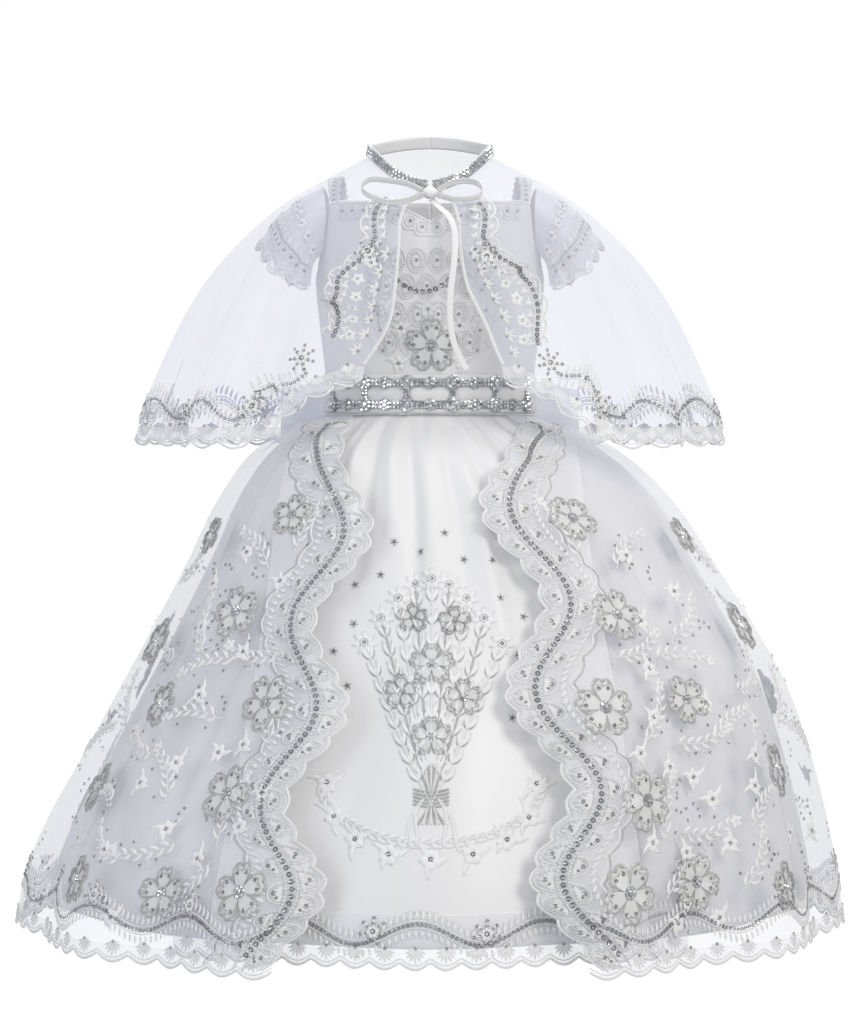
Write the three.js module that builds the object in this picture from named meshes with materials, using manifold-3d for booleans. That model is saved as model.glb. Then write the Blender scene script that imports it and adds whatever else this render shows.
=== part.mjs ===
// A toddler's christening gown in white satin, organza and lace, as worn, with nothing inside it.
// It has a fitted sleeveless bodice with lace straps, flutter cap sleeves in two layers, a stone-set
// belt with a sash bow behind, a gathered satin skirt under an organza overskirt that opens in front
// between two waved lace borders, and a sheer shoulder cape that ties at its collar with a ribbon bow.
//
// Millimetres, +Z up, the front faces -Y, and +X is the wearer's left. The origin lies midway between
// the tops of the two shoulder straps, where the wearer carries the gown.
import * as THREE from "three";
import { mergeVertices } from "three/addons/utils/BufferGeometryUtils.js";
import Module from "manifold-3d";

// Driving sizes
const SATIN = 1.4; // wall of satin with its lining
const SHEER = 1.1; // wall of organza and lace
const SEAM = 0.35; // clearance between pieces that are sewn together
const WAIST = 202; // waist seam, below the shoulder line
const SATIN_HEM = 623;
const OVERSKIRT_HEM = 632;
const SCALLOP_DEPTH = 16; // how far the lace scallops hang below the cloth
const FRONT_LACE_TOP = 596;
const FRONT_LACE_BOTTOM = 640;
const BELT_TOP = 167;
const BELT_BOTTOM = 200.5;
const BELT_WALL = 1.5;
const BELT_CLEAR = 0.75; // of the bodice under it
const COLLAR_HEIGHT = 11;
const RIBBON = 5.5; // width of the neck ribbon's ends
const RIBBON_LOOP = 7;
const RIBBON_WALL = 0.9;
const SASH_WIDTH = 44;
const BORDER_INSIDE = 27; // lace border, from its sequin line to its scalloped edge

const TURN = Math.PI * 2;
const DEGREE = Math.PI / 180;

// Half width and half depth of the body of the gown at heights below the shoulder line.
const TORSO = [
  { down: 8, wide: 92, deep: 70 },
  { down: 20, wide: 95, deep: 73 },
  { down: 55, wide: 99, deep: 78 },
  { down: 90, wide: 100, deep: 80 },
  { down: 130, wide: 96, deep: 79 },
  { down: 167, wide: 92, deep: 76 },
  { down: 202, wide: 91, deep: 75 },
];

// Top edge of the bodice: neckline, armhole and back neckline, by the angle from the front.
const BODICE_TOP = [
  { turn: 0, down: 36 },
  { turn: 8, down: 29 },
  { turn: 18, down: 21 },
  { turn: 30, down: 18 },
  { turn: 56, down: 18 },
  { turn: 66, down: 18.5 },
  { turn: 71, down: 50 },
  { turn: 79, down: 77 },
  { turn: 90, down: 88 },
  { turn: 101, down: 80 },
  { turn: 111, down: 52 },
  { turn: 118, down: 13 },
  { turn: 128, down: 12 },
  { turn: 180, down: 13 },
];

// The overskirt's outline: half width, its depth as a share of that, and how far it leans to +X.
const OVERSKIRT = [
  { down: 202, wide: 93, round: 0.825, aside: 0 },
  { down: 208, wide: 106, round: 0.835, aside: 0 },
  { down: 218, wide: 130, round: 0.85, aside: 2 },
  { down: 232, wide: 155, round: 0.87, aside: 5 },
  { down: 252, wide: 178, round: 0.89, aside: 9 },
  { down: 285, wide: 204, round: 0.91, aside: 14 },
  { down: 330, wide: 229, round: 0.935, aside: 18 },
  { down: 385, wide: 259, round: 0.95, aside: 21 },
  { down: 440, wide: 287, round: 0.96, aside: 21 },
  { down: 500, wide: 312, round: 0.97, aside: 15 },
  { down: 560, wide: 335, round: 0.97, aside: 6 },
  { down: 610, wide: 349, round: 0.97, aside: 1 },
  { down: 650, wide: 355, round: 0.97, aside: 0 },
];

// How far the satin skirt stays inside the overskirt.
const BETWEEN_SKIRTS = [
  { down: 202, gap: 2.8 },
  { down: 207, gap: 6.6 },
  { down: 217, gap: 12.5 },
  { down: 232, gap: 15 },
  { down: 260, gap: 16.5 },
  { down: 320, gap: 19 },
  { down: 650, gap: 20 },
];

// Folds of each skirt: gathers die away below the waist, and flutes grow towards the hem.
const OVERSKIRT_FOLDS = { gathers: 16, gatherDepth: 3, flutes: 13, fluteDepth: 8, lean: 0.7 };
const SATIN_FOLDS = { gathers: 24, gatherDepth: 2.4, flutes: 9, fluteDepth: 5, lean: 0.4 };
const GATHER_PEAK = 14; // the gathers are deepest this far below the waist

// The cape from its collar to its hem, at the wearer's side, front and back.
const CAPE = [
  { step: 0, side: 55, sideZ: 23, front: 50, frontZ: -10, back: 48, backZ: 33 },
  { step: 1, side: 78, sideZ: 11, front: 64, frontZ: -14, back: 62, backZ: 27 },
  { step: 2, side: 102, sideZ: -2, front: 78, frontZ: -22, back: 76, backZ: 16 },
  { step: 3, side: 130, sideZ: -19, front: 89, frontZ: -36, back: 89, backZ: -4 },
  { step: 4, side: 157, sideZ: -42, front: 97, frontZ: -60, back: 98, backZ: -34 },
  { step: 5, side: 182, sideZ: -69, front: 104, frontZ: -92, back: 108, backZ: -72 },
  { step: 6, side: 204, sideZ: -102, front: 111, frontZ: -125, back: 119, backZ: -112 },
  { step: 7, side: 222, sideZ: -140, front: 119, frontZ: -158, back: 130, backZ: -150 },
  { step: 8, side: 238, sideZ: -180, front: 127, frontZ: -190, back: 140, backZ: -185 },
  { step: 9, side: 248, sideZ: -212, front: 134, frontZ: -214, back: 148, backZ: -214 },
  { step: 10, side: 252, sideZ: -240, front: 138, frontZ: -242, back: 153, backZ: -242 },
];
// The hem's step, by the angle from the front: the corners at the opening are rounded off upwards.
const CAPE_HEM = [
  { turn: 17, step: 7.1 },
  { turn: 22, step: 7.3 },
  { turn: 27, step: 7.65 },
  { turn: 31, step: 8.1 },
  { turn: 36, step: 8.7 },
  { turn: 42, step: 9 },
  { turn: 180, step: 9 },
];
// The front edges, as angles from the front at each step: the wearer's right, then the left.
const CAPE_EDGES = [
  { step: 0, right: 3, left: 3 },
  { step: 1, right: 8, left: 8 },
  { step: 2, right: 10.5, left: 10.5 },
  { step: 3, right: 10.8, left: 10.2 },
  { step: 4, right: 9.4, left: 9 },
  { step: 5, right: 9, left: 9.6 },
  { step: 6, right: 9.6, left: 13 },
  { step: 7, right: 14, left: 15.6 },
  { step: 8, right: 20, left: 19 },
];
const CAPE_FOLDS = { count: 13, depth: 8, lean: 0.9 };

// Each lace border is sewn to the overskirt along a line at these angles from the front.
const BORDER_SEAM = [
  { down: 202.6, left: 66, right: 66 },
  { down: 210, left: 64.5, right: 64.5 },
  { down: 224, left: 56, right: 58 },
  { down: 246, left: 43.5, right: 49.7 },
  { down: 290, left: 34.5, right: 44.5 },
  { down: 362, left: 29, right: 40.3 },
  { down: 450, left: 27, right: 36.4 },
  { down: 545, left: 28.4, right: 32 },
  { down: 632, left: 30.1, right: 30.1 },
  { down: 652, left: 30.3, right: 30.3 },
];

// The mean line of each border's sequins in the front view, and its wave.
const BORDER_LINE = { at: 240, x: 80, slope: 0.135 };
const BORDER_WAVE = {
  left: { side: 1, depth: 19, length: 147, crest: 279 },
  right: { side: -1, depth: 17, length: 140, crest: 300 },
};

// Inner and outer edges of the wearer's left strap, from front to back.
const STRAP = [
  { along: 0, innerX: 78.8, innerY: -40.8, innerZ: -17.4, outerX: 86.8, outerY: -29.7, outerZ: -17.8 },
  { along: 0.28, innerX: 78, innerY: -26, innerZ: -1.5, outerX: 88.5, outerY: -18, outerZ: -3.5 },
  { along: 0.5, innerX: 76, innerY: 0, innerZ: 6, outerX: 89, outerY: 2, outerZ: 3 },
  { along: 0.75, innerX: 74.5, innerY: 27, innerZ: -1, outerX: 86, outerY: 22, outerZ: -2 },
  { along: 1, innerX: 73.3, innerY: 43.6, innerZ: -11.4, outerX: 82.2, outerY: 33.2, outerZ: -12.2 },
];

// The wearer's left cap sleeve, from the front of the armhole over the shoulder to the back.
const SLEEVE = [
  { along: 0, innerX: 93.6, innerY: -29, innerZ: -60, outerX: 107, outerY: -46, outerZ: -97 },
  { along: 0.15, innerX: 91.4, innerY: -31, innerZ: -40, outerX: 123, outerY: -51, outerZ: -93 },
  { along: 0.3, innerX: 91, innerY: -28, innerZ: -20, outerX: 140, outerY: -40, outerZ: -77 },
  { along: 0.5, innerX: 92.5, innerY: 0, innerZ: -4.5, outerX: 149, outerY: 0, outerZ: -60 },
  { along: 0.7, innerX: 89.5, innerY: 27, innerZ: -13, outerX: 141, outerY: 41, outerZ: -74 },
  { along: 0.85, innerX: 88.6, innerY: 34, innerZ: -31, outerX: 124, outerY: 52, outerZ: -88 },
  { along: 1, innerX: 92.6, innerY: 32, innerZ: -56, outerX: 108, outerY: 49, outerZ: -94 },
];
const SLEEVE_ARCH = 7;
const SLEEVE_LACE_LIFT = { sewn: 2.6, free: 6.5 }; // how far the lace layer stands off the satin one
const SLEEVE_WAVES = { count: 5, depth: 3 };

// Neck ribbon: places across, forward and up.
const BOW_LOOP_RIGHT = [
  [-6, -60, -9.5], [-20, -61, -3.5], [-38, -60, -0.5], [-52, -61, 0], [-59, -67, -7],
  [-53, -76.5, -14], [-38, -84, -20.5], [-22, -82.5, -19.5], [-6, -68, -13.5],
];
const BOW_LOOP_LEFT = [
  [6, -60, -9.5], [18, -61, -3], [31, -60, -1], [41, -61, -3.5], [45, -66, -10],
  [39, -76, -16], [22, -79, -18], [6, -68, -13.5],
];
const RIBBON_END = [
  [1.5, -65, -17.4], [8, -77, -24.5], [16, -90, -33], [21, -99, -47], [20.5, -106, -70],
  [17.5, -108, -97], [17, -107, -120], [20, -105, -140], [26, -103, -155], [32, -102, -165],
];
const BOW_KNOT = { x: 0, y: -63, z: -11.5, wide: 7, deep: 7.5, high: 5.5 };

// Sash bow at the back: the wearer's right loop, seen from above, and its knot.
const SASH_LOOP = [
  [-11.5, 95, -186], [-60, 110, -188], [-106, 109, -196], [-134, 95, -203],
  [-129, 85, -203], [-98, 92, -197], [-60, 98, -190], [-11.5, 87.5, -187],
];
const SASH_KNOT = { y: 89.4, z: -187, wide: 11, deep: 11, high: 17 };
const SASH_END = { from: 209, to: 420, near: 9, far: 38, wide: 30, clear: { left: 7.5, right: 7.5 } };

// Belt trim: stone clusters in two rows, every second pair joined by an upright.
const TRIM = { pitch: 19.6, count: 5, topRow: 174.5, bottomRow: 193.5, big: 6.6, small: 5, high: 3.2, clear: 0.65 };
const TRIM_RAIL = { half: 2.2, wall: 1.6 };

// The raised flower on the bodice.
const FLOWER = { x: 1.3, down: 143, petals: 5, radius: 23, notch: 0.42, start: 57, high: 1.8 };

// A table column between its rows, on a smooth curve through them.
function read(table, key, column, at) {
  const last = table.length - 1;
  let i = 0;
  while (i < last - 1 && table[i + 1][key] < at) i++;
  const slope = (n) => {
    const a = table[Math.max(n - 1, 0)];
    const b = table[Math.min(n + 1, last)];
    return (b[column] - a[column]) / (b[key] - a[key]);
  };
  const [a, b] = [table[i], table[i + 1]];
  const span = b[key] - a[key];
  const t = THREE.MathUtils.clamp((at - a[key]) / span, 0, 1);
  const [t2, t3] = [t * t, t * t * t];
  return (
    (2 * t3 - 3 * t2 + 1) * a[column] +
    (t3 - 2 * t2 + t) * span * slope(i) +
    (3 * t2 - 2 * t3) * b[column] +
    (t3 - t2) * span * slope(i + 1)
  );
}

// The same with straight lines between the rows, for edges with corners.
function readStraight(table, key, column, at) {
  let i = 0;
  while (i < table.length - 2 && table[i + 1][key] < at) i++;
  const [a, b] = [table[i], table[i + 1]];
  const t = THREE.MathUtils.clamp((at - a[key]) / (b[key] - a[key]), 0, 1);
  return a[column] + (b[column] - a[column]) * t;
}

const curve = (places) => new THREE.CatmullRomCurve3(places.map((p) => new THREE.Vector3(...p)));
const smoothstep = (t) => THREE.MathUtils.smoothstep(t, 0, 1);
const steps = (from, to, count) =>
  Array.from({ length: count + 1 }, (_, i) => from + ((to - from) * i) / count);

// A solid between two grids of points: outer and inner, each [row][column]. The outer grid faces
// away from the inner one. A closed grid joins its last column to its first.
function between(outer, inner, closed) {
  const rows = outer.length;
  const columns = outer[0].length;
  const places = [];
  const triangle = (a, b, c) => {
    if (a.equals(b) || b.equals(c) || c.equals(a)) return;
    for (const p of [a, b, c]) places.push(p.x, p.y, p.z);
  };
  const face = (a, b, c, d) => {
    triangle(a, b, c);
    triangle(a, c, d);
  };
  const across = closed ? columns : columns - 1;
  for (let j = 0; j < across; j++) {
    const k = (j + 1) % columns;
    for (let i = 0; i < rows - 1; i++) {
      face(outer[i][j], outer[i + 1][j], outer[i + 1][k], outer[i][k]);
      face(inner[i][j], inner[i][k], inner[i + 1][k], inner[i + 1][j]);
    }
    face(outer[0][j], outer[0][k], inner[0][k], inner[0][j]);
    const end = rows - 1;
    face(outer[end][j], inner[end][j], inner[end][k], outer[end][k]);
  }
  if (!closed) {
    const end = columns - 1;
    for (let i = 0; i < rows - 1; i++) {
      face(outer[i][0], inner[i][0], inner[i + 1][0], outer[i + 1][0]);
      face(outer[i][end], outer[i + 1][end], inner[i + 1][end], inner[i][end]);
    }
  }
  const geometry = new THREE.BufferGeometry();
  geometry.setAttribute("position", new THREE.Float32BufferAttribute(places, 3));
  return geometry;
}

// The normal of a surface point(row, column): down the rows crossed with along the columns.
function normalOf(point, [r0, r1], [c0, c1]) {
  const down = point(r1, (c0 + c1) / 2).sub(point(r0, (c0 + c1) / 2));
  const along = point((r0 + r1) / 2, c1).sub(point((r0 + r1) / 2, c0));
  return down.cross(along).normalize();
}

// A cloth wall: its outer surface is point(row, column), and the inner one lies under it.
function wall({ rows, columns, point, thick, closed = false }) {
  const near = (list, at, open) => {
    const [first, last] = [list[0], list.at(-1)];
    const reach = (last - first) * 0.002;
    const [low, high] = [Math.min(first, last), Math.max(first, last)];
    return [at - reach, at + reach].map((v) => (open ? THREE.MathUtils.clamp(v, low, high) : v));
  };
  const outer = rows.map((r) => columns.map((c) => point(r, c)));
  const inner = outer.map((line, i) =>
    line.map((p, j) => {
      const normal = normalOf(point, near(rows, rows[i], true), near(columns, columns[j], !closed));
      return p.clone().addScaledVector(normal, -thick);
    }),
  );
  return between(outer, inner, closed);
}

// A geometry seen in a mirror across the YZ plane, with its faces still pointing out.
function mirrored(geometry) {
  const copy = geometry.clone().scale(-1, 1, 1);
  const place = copy.getAttribute("position");
  for (let i = 0; i < place.count; i += 3) {
    const [b, c] = [1, 2].map((n) => new THREE.Vector3().fromBufferAttribute(place, i + n));
    place.setXYZ(i + 1, c.x, c.y, c.z);
    place.setXYZ(i + 2, b.x, b.y, b.z);
  }
  return copy;
}

// A point of the body of the gown, at an angle from the front and a height, moved out by lift.
function torsoPoint(turn, down, lift = 0) {
  const wide = read(TORSO, "down", "wide", down) + lift;
  const deep = read(TORSO, "down", "deep", down) + lift;
  return new THREE.Vector3(wide * Math.sin(turn), -deep * Math.cos(turn), -down);
}

// How far a skirt's surface stands out from its plain outline, in its gathers and flutes.
function foldAt(folds, turn, down) {
  const below = down - WAIST;
  const u = below / GATHER_PEAK;
  const gathered = Math.pow(u * Math.exp(1 - u), 2) + 0.35 * Math.pow((u / 3) * Math.exp(1 - u / 3), 2);
  const fluted = smoothstep((below - 30) / 360);
  return (
    folds.gatherDepth * gathered * Math.cos(folds.gathers * turn) +
    folds.fluteDepth * fluted * Math.cos(folds.flutes * turn + folds.lean * Math.sin(3 * turn))
  );
}

function skirtPoint(turn, down, inset, folds, lift = 0) {
  const out = foldAt(folds, turn, down) + lift - inset;
  const wide = read(OVERSKIRT, "down", "wide", down);
  const deep = wide * read(OVERSKIRT, "down", "round", down);
  const aside = read(OVERSKIRT, "down", "aside", down);
  return new THREE.Vector3(aside + (wide + out) * Math.sin(turn), -(deep + out) * Math.cos(turn), -down);
}

const overskirtPoint = (turn, down, lift = 0) => skirtPoint(turn, down, 0, OVERSKIRT_FOLDS, lift);

function satinPoint(turn, down, lift = 0) {
  return skirtPoint(turn, down, read(BETWEEN_SKIRTS, "down", "gap", down), SATIN_FOLDS, lift);
}

// The angle at which the overskirt stands at a place across the front view.
function turnAcross(x, down) {
  const wide = read(OVERSKIRT, "down", "wide", down);
  return Math.asin(THREE.MathUtils.clamp((x - read(OVERSKIRT, "down", "aside", down)) / wide, -0.85, 0.85));
}

const borderMean = (down) => BORDER_LINE.x + BORDER_LINE.slope * (down - BORDER_LINE.at);

// Where a border's sequin line runs across the front view.
function borderAcross(wave, down) {
  const swing = wave.depth * Math.cos((TURN * (down - wave.crest)) / wave.length);
  return wave.side * (borderMean(down) - swing);
}

// A place on the straight lines that join a list of points, by how many of them are passed.
function onChords(points, passed) {
  const i = THREE.MathUtils.clamp(Math.floor(passed), 0, points.length - 2);
  return points[i].clone().lerp(points[i + 1], passed - i);
}

const nameOf = (side) => (side > 0 ? "left" : "right");

// The angle of the overskirt's seam with its border, a clearance towards the back.
function borderSeam(side, down, clear) {
  const turn = read(BORDER_SEAM, "down", nameOf(side), down) * DEGREE;
  return side * (turn + clear / read(OVERSKIRT, "down", "wide", down));
}

// A half of the overskirt, from its lace border to the centre back.
const HALF_COLUMNS = 28;
function halfTurn(side, round, down, clear) {
  const front = side * borderSeam(side, down, clear);
  return side * THREE.MathUtils.lerp(front, Math.PI - SEAM / 2 / read(OVERSKIRT, "down", "wide", down), round);
}

function overskirtHalf(side) {
  return wall({
    rows: BORDER_SEAM.slice(0, -1).map((row) => row.down),
    columns: side > 0 ? steps(0, 1, HALF_COLUMNS) : steps(1, 0, HALF_COLUMNS),
    thick: SHEER,
    point: (down, round) => overskirtPoint(halfTurn(side, round, down, SEAM * 1.5), down),
  });
}

// The scalloped lace along the overskirt's hem, which carries on from the edge above it.
function overskirtHem(side) {
  const scallops = 31;
  const rim = steps(0, 1, HALF_COLUMNS).map((round) =>
    overskirtPoint(halfTurn(side, round, OVERSKIRT_HEM, SEAM * 1.5), OVERSKIRT_HEM),
  );
  return wall({
    rows: [0, 1],
    columns: side > 0 ? steps(0, 1, scallops * 3) : steps(1, 0, scallops * 3),
    thick: SHEER,
    point: (row, round) => {
      const scallop = 0.62 + 0.38 * Math.abs(Math.sin(Math.PI * scallops * round));
      const drop = THREE.MathUtils.lerp(SEAM, SCALLOP_DEPTH * scallop, row);
      const turn = halfTurn(side, round, OVERSKIRT_HEM, SEAM * 4);
      const moved = overskirtPoint(turn, OVERSKIRT_HEM + drop).sub(overskirtPoint(turn, OVERSKIRT_HEM));
      const inwards = side * (1 - round) * SEAM * 3;
      return onChords(rim, round * HALF_COLUMNS).add(moved).add(new THREE.Vector3(inwards, 0, 0));
    },
  });
}

// The lace border of a front edge: straight where it is sewn on, waved and scalloped where it is free.
function overskirtBorder(wave) {
  const scallop = 20;
  const seamRows = BORDER_SEAM.map((row) => row.down);
  const seam = seamRows.map((down) => overskirtPoint(borderSeam(wave.side, down, 0), down));
  return wall({
    rows: [202.6, 208, ...steps(214, OVERSKIRT_HEM + SCALLOP_DEPTH - 2, 63)],
    columns: wave.side > 0 ? [0, 0.45, 1] : [1, 0.45, 0],
    thick: SHEER,
    point: (down, share) => {
      const edge = BORDER_INSIDE - 3.2 + 3.2 * Math.abs(Math.sin((Math.PI * down) / scallop));
      const wide = read(OVERSKIRT, "down", "wide", down);
      const free = turnAcross(borderAcross(wave, down), down) - (wave.side * edge) / wide;
      const sewn = borderSeam(wave.side, down, 0);
      const row = Math.max(seamRows.findLastIndex((at) => at <= down), 0);
      const passed = row + (down - seamRows[row]) / ((seamRows[row + 1] ?? down + 1) - seamRows[row]);
      const settle = onChords(seam, passed).sub(overskirtPoint(sewn, down));
      const at = overskirtPoint(THREE.MathUtils.lerp(free, sewn, share), down);
      return at.addScaledVector(settle, share * share);
    },
  });
}

// A panel of the satin skirt between two angles.
function satinPanel(from, to, columns) {
  const rows = [202.6, 212, 230, 272, 370, 500, SATIN_HEM];
  return wall({
    rows,
    columns: steps(0, 1, columns),
    thick: SATIN,
    point: (down, share) => {
      const seam = SEAM / 2 / read(OVERSKIRT, "down", "wide", down);
      return satinPoint(THREE.MathUtils.lerp(from + seam, to - seam, share), down);
    },
  });
}

// The lace along the hem of the satin in front, laid on the satin and scalloped below it.
function frontHemLace() {
  const scallops = 18;
  const reach = 38 * DEGREE;
  return wall({
    rows: [0, 0.6, 1],
    columns: steps(-1, 1, scallops * 3),
    thick: SHEER,
    point: (row, share) => {
      const scallop = Math.abs(Math.sin((Math.PI * scallops * (share + 1)) / 2));
      const bottom = FRONT_LACE_BOTTOM - 6 + 6 * scallop;
      const down = THREE.MathUtils.lerp(FRONT_LACE_TOP, bottom, row);
      return satinPoint(share * reach, down, SHEER + 3 * SEAM);
    },
  });
}

// A panel of the bodice between two seams, under its shaped top edge.
function bodicePanel(turns) {
  const seam = (SEAM * 0.6) / TORSO[0].deep / DEGREE;
  return wall({
    rows: steps(0, 1, 5),
    columns: [turns[0] + seam, ...turns.slice(1, -1), turns.at(-1) - seam],
    thick: SATIN,
    point: (row, turn) => {
      const top = readStraight(BODICE_TOP, "turn", "down", Math.abs(turn));
      return torsoPoint(turn * DEGREE, THREE.MathUtils.lerp(top, WAIST - SEAM, row));
    },
  });
}

function bodice() {
  const half = [8, 18, 30, 43, 56, 61, 66, 68.5, 71, 75, 79, 90];
  const front = [...half.toReversed().map((t) => -t), 0, ...half];
  const back = [90, 101, 106, 111, 114.5, 118, 128, 145, 162, 180];
  const backLeft = bodicePanel(back);
  return { front: bodicePanel(front), backLeft, backRight: mirrored(backLeft) };
}

// The inner and outer edges that a table gives, at a share of the way along them.
const edgesAt = (table, along) =>
  ["inner", "outer"].map(
    (edge) => new THREE.Vector3(...["X", "Y", "Z"].map((axis) => read(table, "along", edge + axis, along))),
  );

function strap() {
  return wall({
    rows: [0, 0.5, 1],
    columns: steps(0, 1, 8),
    thick: SHEER,
    point: (row, along) => {
      const [inner, outer] = edgesAt(STRAP, along);
      return inner.lerp(outer, row);
    },
  });
}

// A cap sleeve: a strip gathered into the armhole, arching out to its fluttering edge.
function sleevePoint(row, along) {
  const [inner, outer] = edgesAt(SLEEVE, along);
  const away = THREE.MathUtils.clamp(Math.abs(along - 0.5) * 5, 0, 1);
  const wave = SLEEVE_WAVES.depth * away * row * Math.sin(TURN * SLEEVE_WAVES.count * along);
  const hump = SLEEVE_ARCH * Math.sin(Math.PI * row);
  const forward = -Math.cos(Math.PI * along);
  return inner.lerp(outer, row).add(new THREE.Vector3(0.5 * hump + 0.3 * wave, wave * forward, 0.8 * hump));
}

function satinSleeve() {
  return wall({ rows: steps(0, 1, 2), columns: steps(0, 1, 24), thick: SHEER, point: sleevePoint });
}

// The lace layer over the satin one: it stands off more towards its scalloped edge.
function laceSleeve() {
  const scallops = 10;
  return wall({
    rows: steps(0, 1, 2),
    columns: steps(0, 1, scallops * 3),
    thick: SHEER,
    point: (share, along) => {
      const row = share * (0.87 + 0.09 * Math.abs(Math.sin(Math.PI * scallops * along)));
      const step = 0.004;
      const normal = normalOf(sleevePoint, [row - step, row + step], [along - step, along + step]);
      const lift = THREE.MathUtils.lerp(SLEEVE_LACE_LIFT.sewn, SLEEVE_LACE_LIFT.free, row);
      return sleevePoint(row, along).addScaledVector(normal, lift);
    },
  });
}

// A point of the cape at an angle from the front and a step down it.
function capePoint(turn, step, lift = 0) {
  const side = Math.pow(Math.sin(turn), 2);
  const end = Math.cos(turn) > 0 ? "front" : "back";
  const grown = smoothstep((step - 3) / 6);
  const fold = CAPE_FOLDS.depth * grown * Math.cos(CAPE_FOLDS.count * turn + CAPE_FOLDS.lean * Math.sin(2 * turn));
  const out = fold * (1 - 0.55 * Math.pow(Math.cos(turn), 2)) + lift;
  const wide = read(CAPE, "step", "side", step) + out;
  const deep = read(CAPE, "step", end, step) + out;
  const z = side * read(CAPE, "step", "sideZ", step) + (1 - side) * read(CAPE, "step", end + "Z", step);
  return new THREE.Vector3(wide * Math.sin(turn), -deep * Math.cos(turn), z);
}

const capeHemStep = (turn) => {
  const fromFront = Math.abs(((turn / DEGREE + 180) % 360) - 180);
  return readStraight(CAPE_HEM, "turn", "step", fromFront);
};

// The cape's two front edges at a step, as angles that run on round the back.
function capeEdges(step) {
  return {
    left: read(CAPE_EDGES, "step", "left", step) * DEGREE,
    right: TURN - read(CAPE_EDGES, "step", "right", step) * DEGREE,
  };
}

// The angle and step of a place on the cape, by shares of the way round it and down it.
function capePlace(round, share) {
  const corner = 7.1;
  let turn = THREE.MathUtils.lerp(17 * DEGREE, TURN - 17 * DEGREE, round);
  let step = corner * share;
  for (let pass = 0; pass < 3; pass++) {
    step = share * capeHemStep(turn);
    const edges = capeEdges(step);
    turn = THREE.MathUtils.lerp(edges.left, edges.right, round);
  }
  return { turn, step };
}

const CAPE_COLUMNS = 54;
function cape() {
  return wall({
    rows: steps(0, 1, 7),
    columns: steps(0, 1, CAPE_COLUMNS),
    thick: SHEER,
    point: (share, round) => {
      const { turn, step } = capePlace(round, share);
      return capePoint(turn, step);
    },
  });
}

// The scalloped lace below the cape's hem, between two shares of the way round.
function capeHem(from, to, scallops) {
  const place = (round, drop) => {
    const { turn, step } = capePlace(round, 1);
    return capePoint(turn, step + drop);
  };
  const rim = steps(0, 1, CAPE_COLUMNS).map((round) => place(round, 0));
  return wall({
    rows: [0, 1],
    columns: steps(0, 1, scallops * 3),
    thick: SHEER,
    point: (row, share) => {
      const round = THREE.MathUtils.lerp(from, to, share);
      const scallop = 0.62 + 0.38 * Math.abs(Math.sin(Math.PI * scallops * share));
      const drop = THREE.MathUtils.lerp(0.03, 0.56 * scallop, row);
      const moved = place(round, drop).sub(place(round, 0));
      return onChords(rim, round * CAPE_COLUMNS).add(moved);
    },
  });
}

// Half of the cape's upright collar band.
function collar() {
  return wall({
    rows: [1, 0],
    columns: steps(3 * DEGREE, Math.PI - SEAM / 2 / 50, 14),
    thick: SATIN,
    point: (row, turn) => {
      const foot = capePoint(turn, 0);
      const lean = -2 * row;
      const [across, forward] = [Math.sin(turn), Math.cos(turn)];
      const high = SEAM * 2 + row * COLLAR_HEIGHT;
      return foot.add(new THREE.Vector3(lean * across, -lean * forward, high));
    },
  });
}

// The free end of the neck ribbon: it leaves the knot facing up, and then hangs facing the front.
function ribbonEnd() {
  const path = curve(RIBBON_END);
  return wall({
    rows: [-0.5, 0.5],
    columns: steps(0, 1, 20),
    thick: RIBBON_WALL,
    point: (across, along) => {
      const facing = new THREE.Vector3(0, -0.75 - 0.25 * along, 0.66 * (1 - along));
      const side = path.getTangentAt(along).cross(facing).normalize();
      return path.getPointAt(along).addScaledVector(side, across * RIBBON);
    },
  });
}

// A loop of the neck ribbon, its width square to the plane that it lies in.
function ribbonLoop(places, columns) {
  const path = curve(places);
  const width = new THREE.Vector3(0, -0.75, 0.66);
  return wall({
    rows: [-0.5, 0.5],
    columns: steps(0, 1, columns),
    thick: RIBBON_WALL,
    point: (across, along) => path.getPointAt(along).addScaledVector(width, across * RIBBON_LOOP),
  });
}

// A loop of the sash bow: an upright band, closed at the knot.
function sashLoop() {
  const path = curve(SASH_LOOP);
  return wall({
    rows: [-0.5, 0, 0.5],
    columns: steps(0, 1, 18),
    thick: SHEER,
    point: (across, along) => {
      const at = path.getPointAt(along);
      const reach = THREE.MathUtils.clamp((-at.x - 10) / 60, 0, 1);
      const width = SASH_WIDTH * (0.5 + 0.5 * reach);
      return new THREE.Vector3(at.x, at.y, at.z + across * width);
    },
  });
}

// A hanging end of the sash, clear of the overskirt behind it and creased along its middle.
function sashEnd(side) {
  return wall({
    rows: steps(SASH_END.from, SASH_END.to, 7),
    columns: [-1, 0, 1],
    thick: SHEER,
    point: (down, across) => {
      const spread = (down - SASH_END.from) / (SASH_END.to - SASH_END.from);
      const width = SASH_END.wide * (0.5 + 0.5 * Math.min(1, spread * 3));
      const x = side * THREE.MathUtils.lerp(SASH_END.near, SASH_END.far, spread) - (across * width) / 2;
      const turn = Math.PI - Math.asin(x / read(OVERSKIRT, "down", "wide", down));
      return overskirtPoint(turn, down, SASH_END.clear[nameOf(side)] + 3 * Math.abs(across));
    },
  });
}

function ellipsoid({ x = 0, y, z, wide, deep, high }) {
  return new THREE.SphereGeometry(1, 10, 6).scale(wide, deep, high).translate(x, y, z);
}

// The angle at which the belt's surface is a length of arc from the centre front.
function turnAtArc(arc) {
  const lift = BELT_CLEAR + BELT_WALL;
  const step = 0.002;
  let turn = 0;
  for (let gone = 0; gone < Math.abs(arc); turn += step) {
    gone += torsoPoint(turn, 184, lift).distanceTo(torsoPoint(turn + step, 184, lift));
  }
  return turn * Math.sign(arc);
}

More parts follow.
